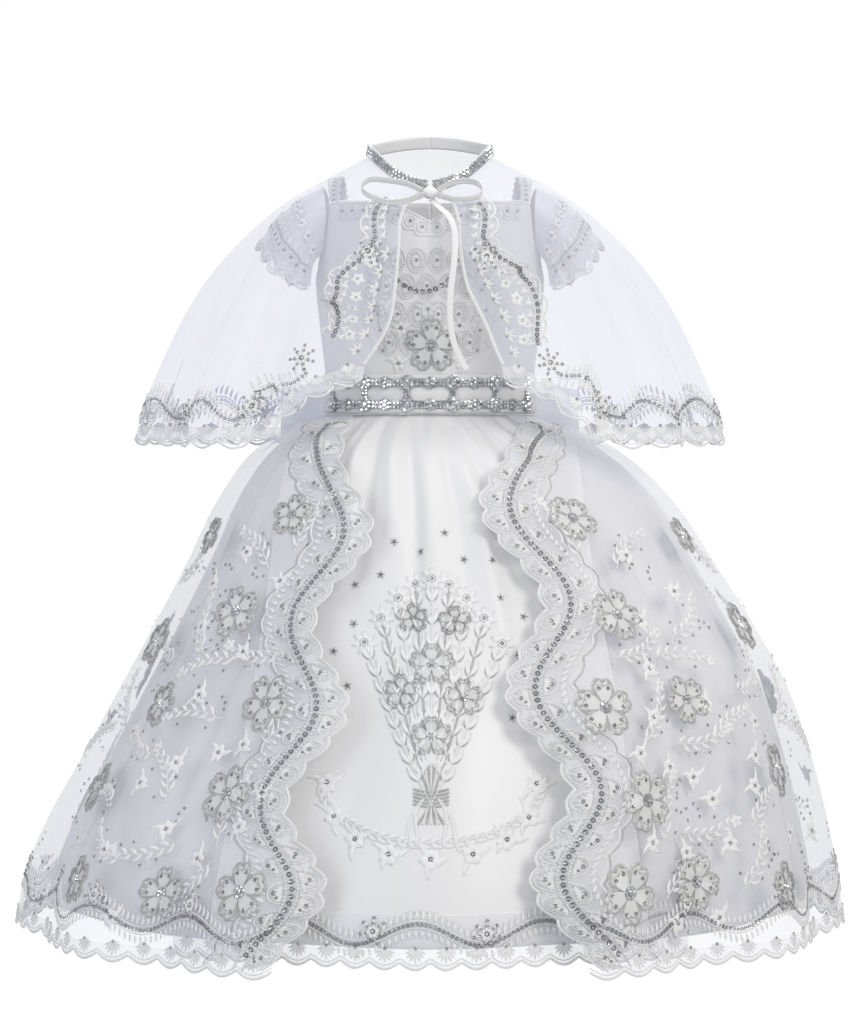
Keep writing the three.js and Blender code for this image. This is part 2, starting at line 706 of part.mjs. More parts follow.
function belt() {
  return wall({
    rows: [BELT_TOP, BELT_BOTTOM],
    columns: steps(0, TURN, 36).slice(0, 36),
    thick: BELT_WALL,
    closed: true,
    point: (down, turn) => torsoPoint(turn, down, BELT_CLEAR + BELT_WALL),
  });
}

const wasm = await Module();
wasm.setup();

// A closed geometry as a solid that can be joined to others.
function solid(geometry) {
  const bare = geometry.index ? geometry.toNonIndexed() : geometry.clone();
  bare.deleteAttribute("normal");
  bare.deleteAttribute("uv");
  const merged = mergeVertices(bare, 1e-4);
  return new wasm.Manifold(
    new wasm.Mesh({
      numProp: 3,
      vertProperties: merged.getAttribute("position").array,
      triVerts: new Uint32Array(merged.index.array),
    }),
  );
}

function joined(geometries) {
  const whole = geometries.map(solid).reduce((a, b) => a.add(b));
  const mesh = whole.getMesh();
  const geometry = new THREE.BufferGeometry();
  geometry.setAttribute("position", new THREE.BufferAttribute(mesh.vertProperties, 3));
  geometry.setIndex(new THREE.BufferAttribute(mesh.triVerts, 1));
  return geometry.toNonIndexed();
}

// The belt's stone trim: two rails with clusters of stones on them, joined by uprights.
function beltTrim() {
  const base = BELT_CLEAR + BELT_WALL + TRIM.clear;
  const reach = turnAtArc(TRIM.pitch * TRIM.count);
  const strip = (from, to, top, bottom, columns) =>
    wall({
      rows: [top, bottom],
      columns: steps(from, to, columns),
      thick: TRIM_RAIL.wall,
      point: (down, turn) => torsoPoint(turn, down, base + TRIM_RAIL.wall),
    });
  const pieces = [TRIM.topRow, TRIM.bottomRow].map((row) =>
    strip(-reach, reach, row - TRIM_RAIL.half, row + TRIM_RAIL.half, 14),
  );
  for (let n = -TRIM.count; n <= TRIM.count; n++) {
    const turn = turnAtArc(n * TRIM.pitch);
    const big = n % 2 !== 0;
    const radius = big ? TRIM.big : TRIM.small;
    const half = 0.024;
    if (big) pieces.push(strip(turn - half, turn + half, TRIM.topRow, TRIM.bottomRow, 1));
    for (const row of [TRIM.topRow, TRIM.bottomRow]) {
      const foot = torsoPoint(turn, row, base + 0.45);
      const out = torsoPoint(turn, row, base + 10).sub(foot).normalize();
      const disc = new THREE.CylinderGeometry(radius * 0.6, radius, TRIM.high, big ? 8 : 6);
      disc.applyQuaternion(new THREE.Quaternion().setFromUnitVectors(new THREE.Vector3(0, 1, 0), out));
      pieces.push(disc.translate(...foot.addScaledVector(out, TRIM.high / 2).toArray()));
    }
  }
  return joined(pieces);
}

// The raised flower on the bodice: five notched petals that follow the cloth under them.
function bodiceFlower() {
  const around = 40;
  const place = (share, radius, lift) => {
    const angle = share * TURN;
    const petal = Math.abs(Math.cos((FLOWER.petals / 2) * (angle - FLOWER.start * DEGREE)));
    const reach = FLOWER.radius * (1 - FLOWER.notch + FLOWER.notch * Math.pow(petal, 0.6)) * radius;
    const down = FLOWER.down - reach * Math.sin(angle);
    const across = FLOWER.x + reach * Math.cos(angle);
    const turn = Math.asin(across / read(TORSO, "down", "wide", down));
    return torsoPoint(turn, down, lift);
  };
  const rings = [0, 0.5, 1];
  const shares = steps(0, 1, around).slice(0, around).toReversed();
  const outer = rings.map((r) => shares.map((s) => place(s, r, SEAM + FLOWER.high * (1.1 - 0.5 * r))));
  const inner = rings.map((r) => shares.map((s) => place(s, r, SEAM)));
  return between(outer.toReversed(), inner.toReversed(), true);
}

// Materials
const cloth = (color, roughness) => new THREE.MeshStandardMaterial({ color, roughness, metalness: 0 });
const satinCloth = cloth(0xf1f2f6, 0.38);
const organza = new THREE.MeshStandardMaterial({
  color: 0xf3f5fd, roughness: 0.6, metalness: 0, transparent: true, opacity: 0.45,
});
const lace = cloth(0xeceef2, 0.7);
const ribbonSatin = cloth(0xf4f2ee, 0.4);
const stones = new THREE.MeshStandardMaterial({ color: 0xb9bcc2, roughness: 0.2, metalness: 0.8 });

const gown = new THREE.Group();
gown.name = "christening_gown";
function add(name, geometry, material) {
  geometry.computeVertexNormals();
  const mesh = new THREE.Mesh(geometry, material);
  mesh.name = name;
  gown.add(mesh);
}

const panels = bodice();
add("bodice_front", panels.front, satinCloth);
add("bodice_back_left", panels.backLeft, satinCloth);
add("bodice_back_right", panels.backRight, satinCloth);
add("bodice_flower", bodiceFlower(), lace);

add("strap_left", strap(), lace);
add("strap_right", mirrored(strap()), lace);

add("sleeve_satin_left", satinSleeve(), satinCloth);
add("sleeve_satin_right", mirrored(satinSleeve()), satinCloth);
add("sleeve_lace_left", laceSleeve(), lace);
add("sleeve_lace_right", mirrored(laceSleeve()), lace);

add("belt_band", belt(), satinCloth);
add("belt_trim", beltTrim(), stones);
add("sash_knot", ellipsoid(SASH_KNOT), organza);
add("sash_loop_right", sashLoop(), organza);
add("sash_loop_left", mirrored(sashLoop()), organza);
add("sash_end_left", sashEnd(1), organza);
add("sash_end_right", sashEnd(-1), organza);

const sideSeam = 72 * DEGREE;
add("skirt_front", satinPanel(-sideSeam, sideSeam, 36), satinCloth);
add("skirt_back_left", satinPanel(sideSeam, Math.PI, 18), satinCloth);
add("skirt_back_right", satinPanel(-Math.PI, -sideSeam, 18), satinCloth);
add("skirt_hem_lace", frontHemLace(), lace);

add("overskirt_left", overskirtHalf(1), organza);
add("overskirt_right", overskirtHalf(-1), organza);
add("overskirt_hem_left", overskirtHem(1), lace);
add("overskirt_hem_right", overskirtHem(-1), lace);
add("border_left", overskirtBorder(BORDER_WAVE.left), lace);
add("border_right", overskirtBorder(BORDER_WAVE.right), lace);

add("cape", cape(), organza);
add("cape_hem_left", capeHem(0, 0.5 - 0.0003, 21), lace);
add("cape_hem_right", capeHem(0.5 + 0.0003, 1, 21), lace);
add("collar_left", collar(), stones);
add("collar_right", mirrored(collar()), stones);

add("tie_knot", ellipsoid(BOW_KNOT), ribbonSatin);
add("tie_loop_left", ribbonLoop(BOW_LOOP_LEFT, 16), ribbonSatin);
add("tie_loop_right", ribbonLoop(BOW_LOOP_RIGHT, 18), ribbonSatin);
add("tie_end", ribbonEnd(), ribbonSatin);

export default gown;
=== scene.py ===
# A toddler's white christening gown as worn, with nothing inside it: satin bodice and gathered
# skirt, an organza overskirt that opens in front between two waved lace borders, cap sleeves, a
# stone-set belt with a sash bow behind, and a sheer shoulder cape that ties with a ribbon bow.
#
# Lengths are in millimetres until a mesh is made, in the frame's own axes: +Z up, the front faces -Y,
# +X is the wearer's left, and the origin lies midway between the tops of the shoulder straps.
# Every cloth is a function of two parameters: mostly the angle round the body from the front, and
# how far down it lies. What is sewn on a cloth is laid out flat in millimetres and carried onto it.
import math

import bpy
import numpy as np
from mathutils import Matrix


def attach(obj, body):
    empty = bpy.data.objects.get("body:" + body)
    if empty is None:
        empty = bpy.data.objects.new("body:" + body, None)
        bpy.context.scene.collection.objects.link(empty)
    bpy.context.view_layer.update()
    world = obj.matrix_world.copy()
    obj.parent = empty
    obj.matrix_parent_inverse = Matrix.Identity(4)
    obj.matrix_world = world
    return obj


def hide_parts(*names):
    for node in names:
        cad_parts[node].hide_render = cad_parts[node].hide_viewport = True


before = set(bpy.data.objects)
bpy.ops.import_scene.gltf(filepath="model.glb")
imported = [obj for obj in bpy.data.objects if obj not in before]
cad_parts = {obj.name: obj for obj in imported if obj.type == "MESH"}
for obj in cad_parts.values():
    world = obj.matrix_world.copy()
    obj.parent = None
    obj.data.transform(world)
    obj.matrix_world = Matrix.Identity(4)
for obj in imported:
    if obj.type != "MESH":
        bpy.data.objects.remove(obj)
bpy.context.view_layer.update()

MM = 0.001
TURN = 2 * math.pi
dice = np.random.default_rng(7)

# Sizes, as in the part's source
WAIST = 202
SATIN_HEM = 623
OVERSKIRT_HEM = 632
SCALLOP_DEPTH = 16
HEM_SCALLOPS = 31
HEM_SEAM = math.radians(30.1)
BELT_TOP, BELT_BOTTOM = 167, 200.5
BELT_LIFT = 2.25
BORDER_FREE_EDGE = 27
GATHER_PEAK = 14


def table(names, *rows):
    """Rows of numbers under named columns; the first column is the one the others are read by."""
    return dict(zip(names.split(), np.array(rows, float).T))


TORSO = table(
    "down wide deep",
    (8, 92, 70), (20, 95, 73), (55, 99, 78), (90, 100, 80), (130, 96, 79), (167, 92, 76), (202, 91, 75),
)
BODICE_TOP = table(
    "turn down",
    (0, 36), (8, 29), (18, 21), (30, 18), (56, 18), (66, 18.5), (71, 50), (79, 77), (90, 88),
    (101, 80), (111, 52), (118, 13), (128, 12), (180, 13),
)
OVERSKIRT = table(
    "down wide round aside",
    (202, 93, 0.825, 0), (208, 106, 0.835, 0), (218, 130, 0.85, 2), (232, 155, 0.87, 5),
    (252, 178, 0.89, 9), (285, 204, 0.91, 14), (330, 229, 0.935, 18), (385, 259, 0.95, 21),
    (440, 287, 0.96, 21), (500, 312, 0.97, 15), (560, 335, 0.97, 6), (610, 349, 0.97, 1),
    (650, 355, 0.97, 0),
)
BETWEEN_SKIRTS = table(
    "down gap", (202, 2.8), (207, 6.6), (217, 12.5), (232, 15), (260, 16.5), (320, 19), (650, 20)
)
CAPE = table(
    "step side side_z front front_z back back_z",
    (0, 55, 23, 50, -10, 48, 33), (1, 78, 11, 64, -14, 62, 27), (2, 102, -2, 78, -22, 76, 16),
    (3, 130, -19, 89, -36, 89, -4), (4, 157, -42, 97, -60, 98, -34), (5, 182, -69, 104, -92, 108, -72),
    (6, 204, -102, 111, -125, 119, -112), (7, 222, -140, 119, -158, 130, -150),
    (8, 238, -180, 127, -190, 140, -185), (9, 248, -212, 134, -214, 148, -214),
    (10, 252, -240, 138, -242, 153, -242),
)
CAPE_HEM = table(
    "turn step", (17, 7.1), (22, 7.3), (27, 7.65), (31, 8.1), (36, 8.7), (42, 9), (180, 9)
)
CAPE_EDGES = table(
    "step right left",
    (0, 3, 3), (1, 8, 8), (2, 10.5, 10.5), (3, 10.8, 10.2), (4, 9.4, 9), (5, 9, 9.6), (6, 9.6, 13),
    (7, 14, 15.6), (8, 20, 19),
)
BORDER_SEAM = table(
    "down left right",
    (202.6, 66, 66), (210, 64.5, 64.5), (224, 56, 58), (246, 43.5, 49.7), (290, 34.5, 44.5),
    (362, 29, 40.3), (450, 27, 36.4), (545, 28.4, 32), (632, 30.1, 30.1), (652, 30.3, 30.3),
)
BORDER_WAVE = {
    "left": {"side": 1, "depth": 19, "length": 147, "crest": 279},
    "right": {"side": -1, "depth": 17, "length": 140, "crest": 300},
}
STRAP = table(
    "along inner_x inner_y inner_z outer_x outer_y outer_z",
    (0, 78.8, -40.8, -17.4, 86.8, -29.7, -17.8), (0.28, 78, -26, -1.5, 88.5, -18, -3.5),
    (0.5, 76, 0, 6, 89, 2, 3), (0.75, 74.5, 27, -1, 86, 22, -2), (1, 73.3, 43.6, -11.4, 82.2, 33.2, -12.2),
)
SLEEVE = table(
    "along inner_x inner_y inner_z outer_x outer_y outer_z",
    (0, 93.6, -29, -60, 107, -46, -97), (0.15, 91.4, -31, -40, 123, -51, -93),
    (0.3, 91, -28, -20, 140, -40, -77), (0.5, 92.5, 0, -4.5, 149, 0, -60),
    (0.7, 89.5, 27, -13, 141, 41, -74), (0.85, 88.6, 34, -31, 124, 52, -88), (1, 92.6, 32, -56, 108, 49, -94),
)


def read(rows, column, at):
    """A column at values of the first one: cubics between the rows, with each row's mean slope."""
    key, value = next(iter(rows.values())), rows[column]
    slope = np.empty_like(value)
    slope[1:-1] = (value[2:] - value[:-2]) / (key[2:] - key[:-2])
    slope[0] = (value[1] - value[0]) / (key[1] - key[0])
    slope[-1] = (value[-1] - value[-2]) / (key[-1] - key[-2])
    i = np.clip(np.searchsorted(key, at) - 1, 0, len(key) - 2)
    span = key[i + 1] - key[i]
    t = np.clip((at - key[i]) / span, 0, 1)
    near = (2 * t**3 - 3 * t**2 + 1) * value[i] + (t**3 - 2 * t**2 + t) * span * slope[i]
    far = (3 * t**2 - 2 * t**3) * value[i + 1] + (t**3 - t**2) * span * slope[i + 1]
    return near + far


def xyz(x, y, z):
    return np.stack(np.broadcast_arrays(x, y, z), axis=-1)


def smooth(t):
    t = np.clip(t, 0, 1)
    return t * t * (3 - 2 * t)


def unit(vectors):
    return vectors / np.maximum(np.linalg.norm(vectors, axis=-1, keepdims=True), 1e-12)


def mirror_x(points):
    return points * np.array([-1.0, 1.0, 1.0])


# The cloths' surfaces

def torso(turn, down):
    """The bodice: an ellipse at each height, its half width and half depth read from a table."""
    wide, deep = read(TORSO, "wide", down), read(TORSO, "deep", down)
    return xyz(wide * np.sin(turn), -deep * np.cos(turn), -down)


def gathers(turn, down, count, depth):
    """Waves round the waist that rise and die away below it, as the square of u times e to 1 - u."""
    u = (down - WAIST) / GATHER_PEAK
    swell = (u * np.exp(1 - u)) ** 2 + 0.35 * ((u / 3) * np.exp(1 - u / 3)) ** 2
    return depth * swell * np.cos(count * turn)


def flutes(turn, down, count, depth, lean):
    """Broad waves round the skirt that grow towards the hem."""
    return depth * smooth((down - WAIST - 30) / 360) * np.cos(count * turn + lean * np.sin(3 * turn))


# Creases run down a cloth: the angle they lie at, how wide, how deep and over which heights.
SATIN_CREASES = table(
    "turn wide deep start end drift",
    (-15, 2.6, 2.6, 208, 330, 2), (-9, 2.0, -3.2, 206, 420, 1), (-3.5, 2.4, 3.0, 206, 360, -1),
    (2, 1.9, -2.8, 208, 390, 1), (7.5, 2.4, 3.4, 206, 450, 2), (12.5, 2.2, -2.4, 208, 340, 1),
    (18, 2.8, 2.6, 206, 400, 2), (24, 2.4, -2.6, 210, 330, 0), (-21, 2.4, -2.6, 208, 380, -2),
    (-27, 2.8, 2.4, 206, 320, -1), (-4, 5.5, 2.2, 380, 620, -5), (9, 6.5, -2.4, 400, 620, 4),
    (-14, 5.0, -2.0, 360, 600, -4), (41, 3.4, 3.0, 206, 400, 4), (66, 3.8, -3.0, 208, 430, 3),
    (95, 4.2, 3.0, 206, 390, -3), (121, 3.2, -3.0, 206, 450, 2), (148, 4.0, 3.2, 208, 400, 3),
    (171, 3.0, -3.0, 206, 420, 1), (197, 3.6, 3.0, 206, 380, -2), (226, 4.2, -3.0, 208, 440, 3),
    (252, 3.4, 3.2, 206, 400, -4), (281, 4.0, -3.0, 206, 420, 2), (309, 3.4, 3.0, 208, 390, -3),
    (-36, 1.9, -4.6, 212, 600, -3), (-45, 2.3, -5.2, 210, 640, -4), (-55, 2.1, -4.2, 212, 560, -6),
    (-67, 2.6, -5.4, 210, 640, -4), (35, 1.9, -4.2, 212, 560, 3), (47, 2.3, -5.0, 210, 640, 5),
    (59, 2.1, -4.2, 214, 600, 4), (78, 2.8, -5.2, 210, 640, 3), (108, 2.4, -4.6, 212, 600, 4),
    (134, 2.2, -5.2, 210, 640, -3), (158, 2.4, -4.4, 212, 560, 3), (186, 2.2, -4.8, 210, 620, -3),
    (212, 2.4, -5.0, 212, 640, 4), (239, 2.2, -4.4, 210, 580, -4), (266, 2.6, -5.2, 212, 640, 3),
)
CAPE_CREASES = table(
    "turn wide deep start end drift",
    (-62, 3.2, -5.0, 3.5, 10.5, 5), (-48, 3.6, 3.6, 4.5, 10.5, 3), (-36, 2.6, -3.0, 5.5, 10.5, -2),
    (30, 3.0, -3.4, 5.0, 10.5, -5), (37, 2.6, 4.0, 6.0, 10.5, -6), (52, 3.6, -4.2, 3.5, 10.5, -4),
    (70, 3.4, 3.6, 4.0, 10.5, 3), (104, 4.2, -5.0, 3.5, 10.5, 3), (133, 4.0, 4.4, 4.0, 10.5, -4),
    (163, 3.6, -4.6, 3.5, 10.5, 4), (196, 4.4, 4.2, 4.5, 10.5, 3), (229, 3.6, -5.0, 3.5, 10.5, -4),
    (261, 4.0, 4.0, 4.0, 10.5, 3),
)


def creased(rows, turn, level, hem):
    """Soft troughs and ridges: a bell across the turn, faded in and out along the cloth."""
    out = np.zeros(np.broadcast(turn, level).shape)
    for n in range(len(rows["turn"])):
        crease = {name: column[n] for name, column in rows.items()}
        reach = (level - crease["start"]) / (crease["end"] - crease["start"])
        centre = np.radians(crease["turn"] + crease["drift"] * np.clip(reach, 0, 1))
        away = (turn - centre + math.pi) % TURN - math.pi
        fade = smooth(reach * 4) * smooth((1 - reach) * 2.2 + (crease["end"] > hem))
        out = out + crease["deep"] * np.exp(-((away / math.radians(crease["wide"])) ** 2)) * fade
    return out


def skirt(turn, down, out):
    """Ellipses that lean aside, out being how far the cloth stands off them."""
    wide = read(OVERSKIRT, "wide", down)
    deep = wide * read(OVERSKIRT, "round", down)
    x = read(OVERSKIRT, "aside", down) + (wide + out) * np.sin(turn)
    return xyz(x, -(deep + out) * np.cos(turn), -down)


def overskirt(turn, down):
    """The organza: few gathers, broad flutes, and small uneven pleats under the belt."""
    pleats = gathers(turn, down, 41, 0.9) + gathers(turn, down, 27, 0.8)
    ripple = 1.3 * smooth((down - 300) / 300) * np.cos(29 * turn + 2 * np.sin(4 * turn))
    out = gathers(turn, down, 16, 3) + flutes(turn, down, 13, 8, 0.7) + pleats + ripple
    return skirt(turn, down, out)


def satin(turn, down):
    """The satin under the organza: a closer skirt with more gathers, fewer flutes and long creases."""
    fine = gathers(turn, down, 53, 0.7) + gathers(turn + 0.3, down, 37, 0.9)
    out = gathers(turn, down, 24, 2.4) + flutes(turn, down, 9, 5, 0.4) + fine
    out = out + 1.5 * creased(SATIN_CREASES, turn, down, 640)
    return skirt(turn, down, out - read(BETWEEN_SKIRTS, "gap", down))


def cape(turn, step):
    """The cape: ellipses whose height too goes from its front or back value to its side one."""
    front = np.cos(turn) > 0
    side = np.sin(turn) ** 2
    deep = np.where(front, read(CAPE, "front", step), read(CAPE, "back", step))
    end_z = np.where(front, read(CAPE, "front_z", step), read(CAPE, "back_z", step))
    fold = 8 * smooth((step - 3) / 6) * np.cos(13 * turn + 0.9 * np.sin(2 * turn))
    ripple = 1.4 * smooth((step - 4) / 5) * np.cos(31 * turn + 2 * np.sin(3 * turn))
    out = (fold + ripple) * (1 - 0.55 * np.cos(turn) ** 2) + creased(CAPE_CREASES, turn, step, 10)
    z = side * read(CAPE, "side_z", step) + (1 - side) * end_z
    return xyz((read(CAPE, "side", step) + out) * np.sin(turn), -(deep + out) * np.cos(turn), z)


def edges_at(rows, along):
    inner = xyz(*(read(rows, f"inner_{axis}", along) for axis in "xyz"))
    outer = xyz(*(read(rows, f"outer_{axis}", along) for axis in "xyz"))
    return inner, outer


def strap(along, row):
    """The wearer's left strap: straight across from its inner edge to its outer one."""
    inner, outer = edges_at(STRAP, along)
    return inner + (outer - inner) * row[..., None]


def sleeve(along, row):
    """The wearer's left cap sleeve: an arch from the armhole out to a fluttering edge."""
    inner, outer = edges_at(SLEEVE, along)
    wave = 3 * np.clip(abs(along - 0.5) * 5, 0, 1) * row * np.sin(TURN * 5 * along)
    pucker = 0.9 * np.exp(-((row / 0.35) ** 2)) * np.sin(TURN * 17 * along) * row * 4
    hump = 7 * np.sin(math.pi * row)
    bend = xyz(0.5 * hump + 0.3 * wave, -wave * np.cos(math.pi * along), 0.8 * hump + pucker)
    return inner + (outer - inner) * row[..., None] + bend


def facing(surface, a, b, step=(1e-4, 1e-3)):
    """The unit normal: the surface's change with b crossed with its change with a."""
    round_it = surface(a + step[0], b) - surface(a - step[0], b)
    down_it = surface(a, b + step[1]) - surface(a, b - step[1])
    return unit(np.cross(down_it, round_it))


def raised(surface, a, b, lift):
    a, b, lift = np.broadcast_arrays(a, b, lift)
    return surface(a, b) + facing(surface, a, b) * lift[..., None]


def stretch(surface, a, b):
    """Millimetres of cloth for each unit of a and of b."""
    step = 1e-3
    across = np.linalg.norm(surface(a + step, b) - surface(a - step, b), axis=-1) / (2 * step)
    deep = np.linalg.norm(surface(a, b + step) - surface(a, b - step), axis=-1) / (2 * step)
    return across, deep


def turn_across(x, down):
    """The angle at which the overskirt stands at x in the front view."""
    share = (x - read(OVERSKIRT, "aside", down)) / read(OVERSKIRT, "wide", down)
    return np.arcsin(np.clip(share, -0.85, 0.85))


def border_across(wave, down):
    """Where a border's sequins run across the front view: a cosine wave about a leaning line."""
    swing = wave["depth"] * np.cos(TURN * (down - wave["crest"]) / wave["length"])
    return wave["side"] * (80 + 0.135 * (down - 240) - swing)


def cape_hem(turn):
    from_front = np.abs((np.degrees(turn) + 180) % 360 - 180)
    return np.interp(from_front, CAPE_HEM["turn"], CAPE_HEM["step"])


def cape_place(round_it, share):
    """The angle and step at a share of the way round the cape and down it."""
    turn = np.radians(17) + (TURN - 2 * np.radians(17)) * round_it
    for _ in range(3):
        step = share * cape_hem(turn)
        left = np.radians(read(CAPE_EDGES, "left", step))
        right = TURN - np.radians(read(CAPE_EDGES, "right", step))
        turn = left + (right - left) * round_it
    return turn, step


# Charts: flat millimetres, u to the right and w up as seen from outside, onto a cloth

class Spots:
    """Small flat charts about many places on a cloth, each with its own size and spin."""

    def __init__(self, surface, places, size=1.0, spin=0.0):
        places = np.asarray(places, float)
        self.surface = surface
        self.a, self.b = places[:, 0], places[:, 1]
        self.size = np.broadcast_to(np.asarray(size, float), self.a.shape)
        self.spin = np.broadcast_to(np.asarray(spin, float), self.a.shape)

    def chart(self, repeat):
        a, b, size, spin = (np.repeat(v, repeat)[:, None] for v in (self.a, self.b, self.size, self.spin))
        across, deep = stretch(self.surface, a, b)

        def place(u, w, lift):
            right = size * (u * np.cos(spin) - w * np.sin(spin))
            up = size * (u * np.sin(spin) + w * np.cos(spin))
            return raised(self.surface, a + right / across, b - up / deep, lift)

        return place

    def draw(self, work, strokes, rise=0.6, base=0.3):
        """The same strokes, as paths and widths, at each place."""
        paths, widths = strokes
        places = len(self.a)
        widths = np.tile(widths, (places, 1)) * np.repeat(self.size, len(paths))[:, None]
        ridges(work, self.chart(len(paths)), np.tile(paths, (places, 1, 1)), widths, rise, base)

    def set(self, work, points, size, shape, lift=0.9, lean=0.12):
        """The same few studs at each place."""
        points = np.asarray(points, float)
        u, w = (np.tile(points[:, n], (len(self.a), 1)) for n in (0, 1))
        studs(work, self.chart(1), u, w, size * self.size[:, None], shape, lift, lean)


def along(surface, a_line, b_line):
    """A chart along a line on a cloth: u is the length along it, and w the distance to its left."""
    points = surface(a_line, b_line)
    length = np.concatenate([[0], np.cumsum(np.linalg.norm(np.diff(points, axis=0), axis=1))])
    across, deep = stretch(surface, a_line, b_line)
    ahead = np.stack([across * np.gradient(a_line), -deep * np.gradient(b_line)], axis=-1)
    ahead = unit(ahead)

    def chart(u, w, lift):
        at = {
            name: np.interp(u, length, values)
            for name, values in {
                "a": a_line, "b": b_line, "right": ahead[:, 0], "up": ahead[:, 1],
                "across": across, "deep": deep
            }.items()
        }
        a = at["a"] - at["up"] * w / at["across"]
        b = at["b"] - at["right"] * w / at["deep"]
        return raised(surface, a, b, lift)

    chart.length = length[-1]
    return chart


# Meshes

def grid_faces(rows, columns, closed=False):
    """Four-sided faces of a grid, each anticlockwise as seen from outside."""
    i = np.arange(rows - 1)[:, None] * columns
    j = np.arange(columns if closed else columns - 1)[None, :]
    k = (j + 1) % columns
    return np.stack([i + j, i + columns + j, i + columns + k, i + k], axis=-1).reshape(-1, 4)


class Work:
    """Points, faces and stitch coordinates gathered for one piece."""

    def __init__(self):
        self.points, self.faces, self.flat, self.count = [], [], [], 0

    def add(self, points, faces, flat):
        points = points.reshape(-1, 3)
        self.points.append(points)
        self.faces.append(faces + self.count)
        self.flat.append(np.broadcast_to(flat, (len(points), 2)) if flat.ndim == 1 else flat.reshape(-1, 2))
        self.count += len(points)

    def piece(self, name, finish, slot, replaces=(), shade=True, mirrored=False):
        points = np.concatenate(self.points)
        if mirrored:
            points = mirror_x(points)
        flat = np.concatenate(self.flat)
        loops = np.concatenate([f.ravel() for f in self.faces])
        sizes = np.concatenate([np.full(len(f), f.shape[1]) for f in self.faces])
        starts = np.concatenate([[0], np.cumsum(sizes)[:-1]])
        name = name.replace(" ", "_")
        mesh = bpy.data.meshes.new(name)
        mesh.vertices.add(len(points))
        mesh.vertices.foreach_set("co", (points * MM).ravel())
        mesh.loops.add(len(loops))
        mesh.loops.foreach_set("vertex_index", loops.astype(np.int32))
        mesh.polygons.add(len(sizes))
        mesh.polygons.foreach_set("loop_start", starts.astype(np.int32))
        mesh.uv_layers.new(name="Stitch").data.foreach_set("uv", flat[loops].ravel())
        mesh.polygons.foreach_set("use_smooth", np.full(len(sizes), shade))
        mesh.update(calc_edges=True)
        if mirrored:
            mesh.flip_normals()
        mesh.materials.append(finish)
        piece = bpy.data.objects.new(name, mesh)
        bpy.context.collection.objects.link(piece)
        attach(piece, "root")
        if replaces:
            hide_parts(*replaces)
        return piece


def cloth(name, points, finish, slot, replaces=(), thick=0.0, closed=False, mirrored=False, others=()):
    """A cloth from a grid of points, down the rows and along the columns, with its own thickness."""
    work = Work()
    for grid in (points, *others):
        rows, columns = grid.shape[:2]
        down = np.linalg.norm(np.diff(grid, axis=0), axis=2).cumsum(axis=0)
        side = np.linalg.norm(np.diff(grid, axis=1), axis=2).cumsum(axis=1)
        v = np.concatenate([np.zeros((1, columns)), down])
        u = np.concatenate([np.zeros((rows, 1)), side], axis=1)
        u = u - u[:, -1:] / 2
        work.add(grid, grid_faces(rows, columns, closed), np.stack([u, v], axis=-1))
    piece = work.piece(name, finish, slot, replaces, mirrored=mirrored)
    if thick:
        wall = piece.modifiers.new("thickness", "SOLIDIFY")
        wall.thickness = thick * MM
        wall.offset = -1
    return piece


# Needlework elements; each adds to a Work through a chart

def ridges(work, chart, path, width, rise, base=0.3):
    """Raised stitching along paths in a flat chart: two slopes that meet at a crest."""
    path = np.asarray(path, float)
    ahead = unit(np.gradient(path, axis=1))
    left = np.stack([-ahead[..., 1], ahead[..., 0]], axis=-1)
    half = np.broadcast_to(np.asarray(width, float), path.shape[:2])[..., None] / 2
    sides = [path - left * half, path, path + left * half]
    heights = [base, base + 1.25 * rise, base]
    points = np.stack([chart(s[..., 0], s[..., 1], h) for s, h in zip(sides, heights)], axis=2)
    count, steps = path.shape[:2]
    faces = (grid_faces(steps, 3)[None] + (np.arange(count) * steps * 3)[:, None, None]).reshape(-1, 4)
    run = np.linalg.norm(np.diff(path, axis=1), axis=2).cumsum(axis=1)
    run = np.concatenate([np.zeros((count, 1)), run], axis=1)
    flat = np.stack(np.broadcast_arrays(run[..., None], np.array([0.0, 0.5, 1.0])), axis=-1)
    work.add(points, faces, flat)


def leaves(foot, spin, length, width, curl=0.0, steps=5):
    """Satin-stitched leaves, as strokes: straight or curled, and widest past their middle."""
    foot = np.atleast_2d(np.asarray(foot, float))
    spin = np.atleast_1d(np.asarray(spin, float))
    count = max(len(foot), len(spin))
    foot = np.broadcast_to(foot, (count, 2))
    spin, length, width, curl = (
        np.broadcast_to(np.asarray(v, float), (count,))[:, None] for v in (spin, length, width, curl)
    )
    t = np.linspace(0, 1, steps)[None, :]
    path = np.stack([
        foot[:, :1] + length * t * np.cos(spin + curl * t),
        foot[:, 1:] + length * t * np.sin(spin + curl * t),
    ], axis=-1)
    return path, width * np.sin(math.pi * np.clip(t, 0.06, 0.95) ** 0.8)


def oval(centre, wide, high, spin=0.0, width=1.1, steps=13):
    """One closed outline, as a stroke."""
    t = np.linspace(0, TURN, steps)
    x, y = wide / 2 * np.cos(t), high / 2 * np.sin(t)
    path = np.stack([
        centre[0] + x * math.cos(spin) - y * math.sin(spin),
        centre[1] + x * math.sin(spin) + y * math.cos(spin),
    ], axis=-1)
    return path[None], np.full((1, steps), width)


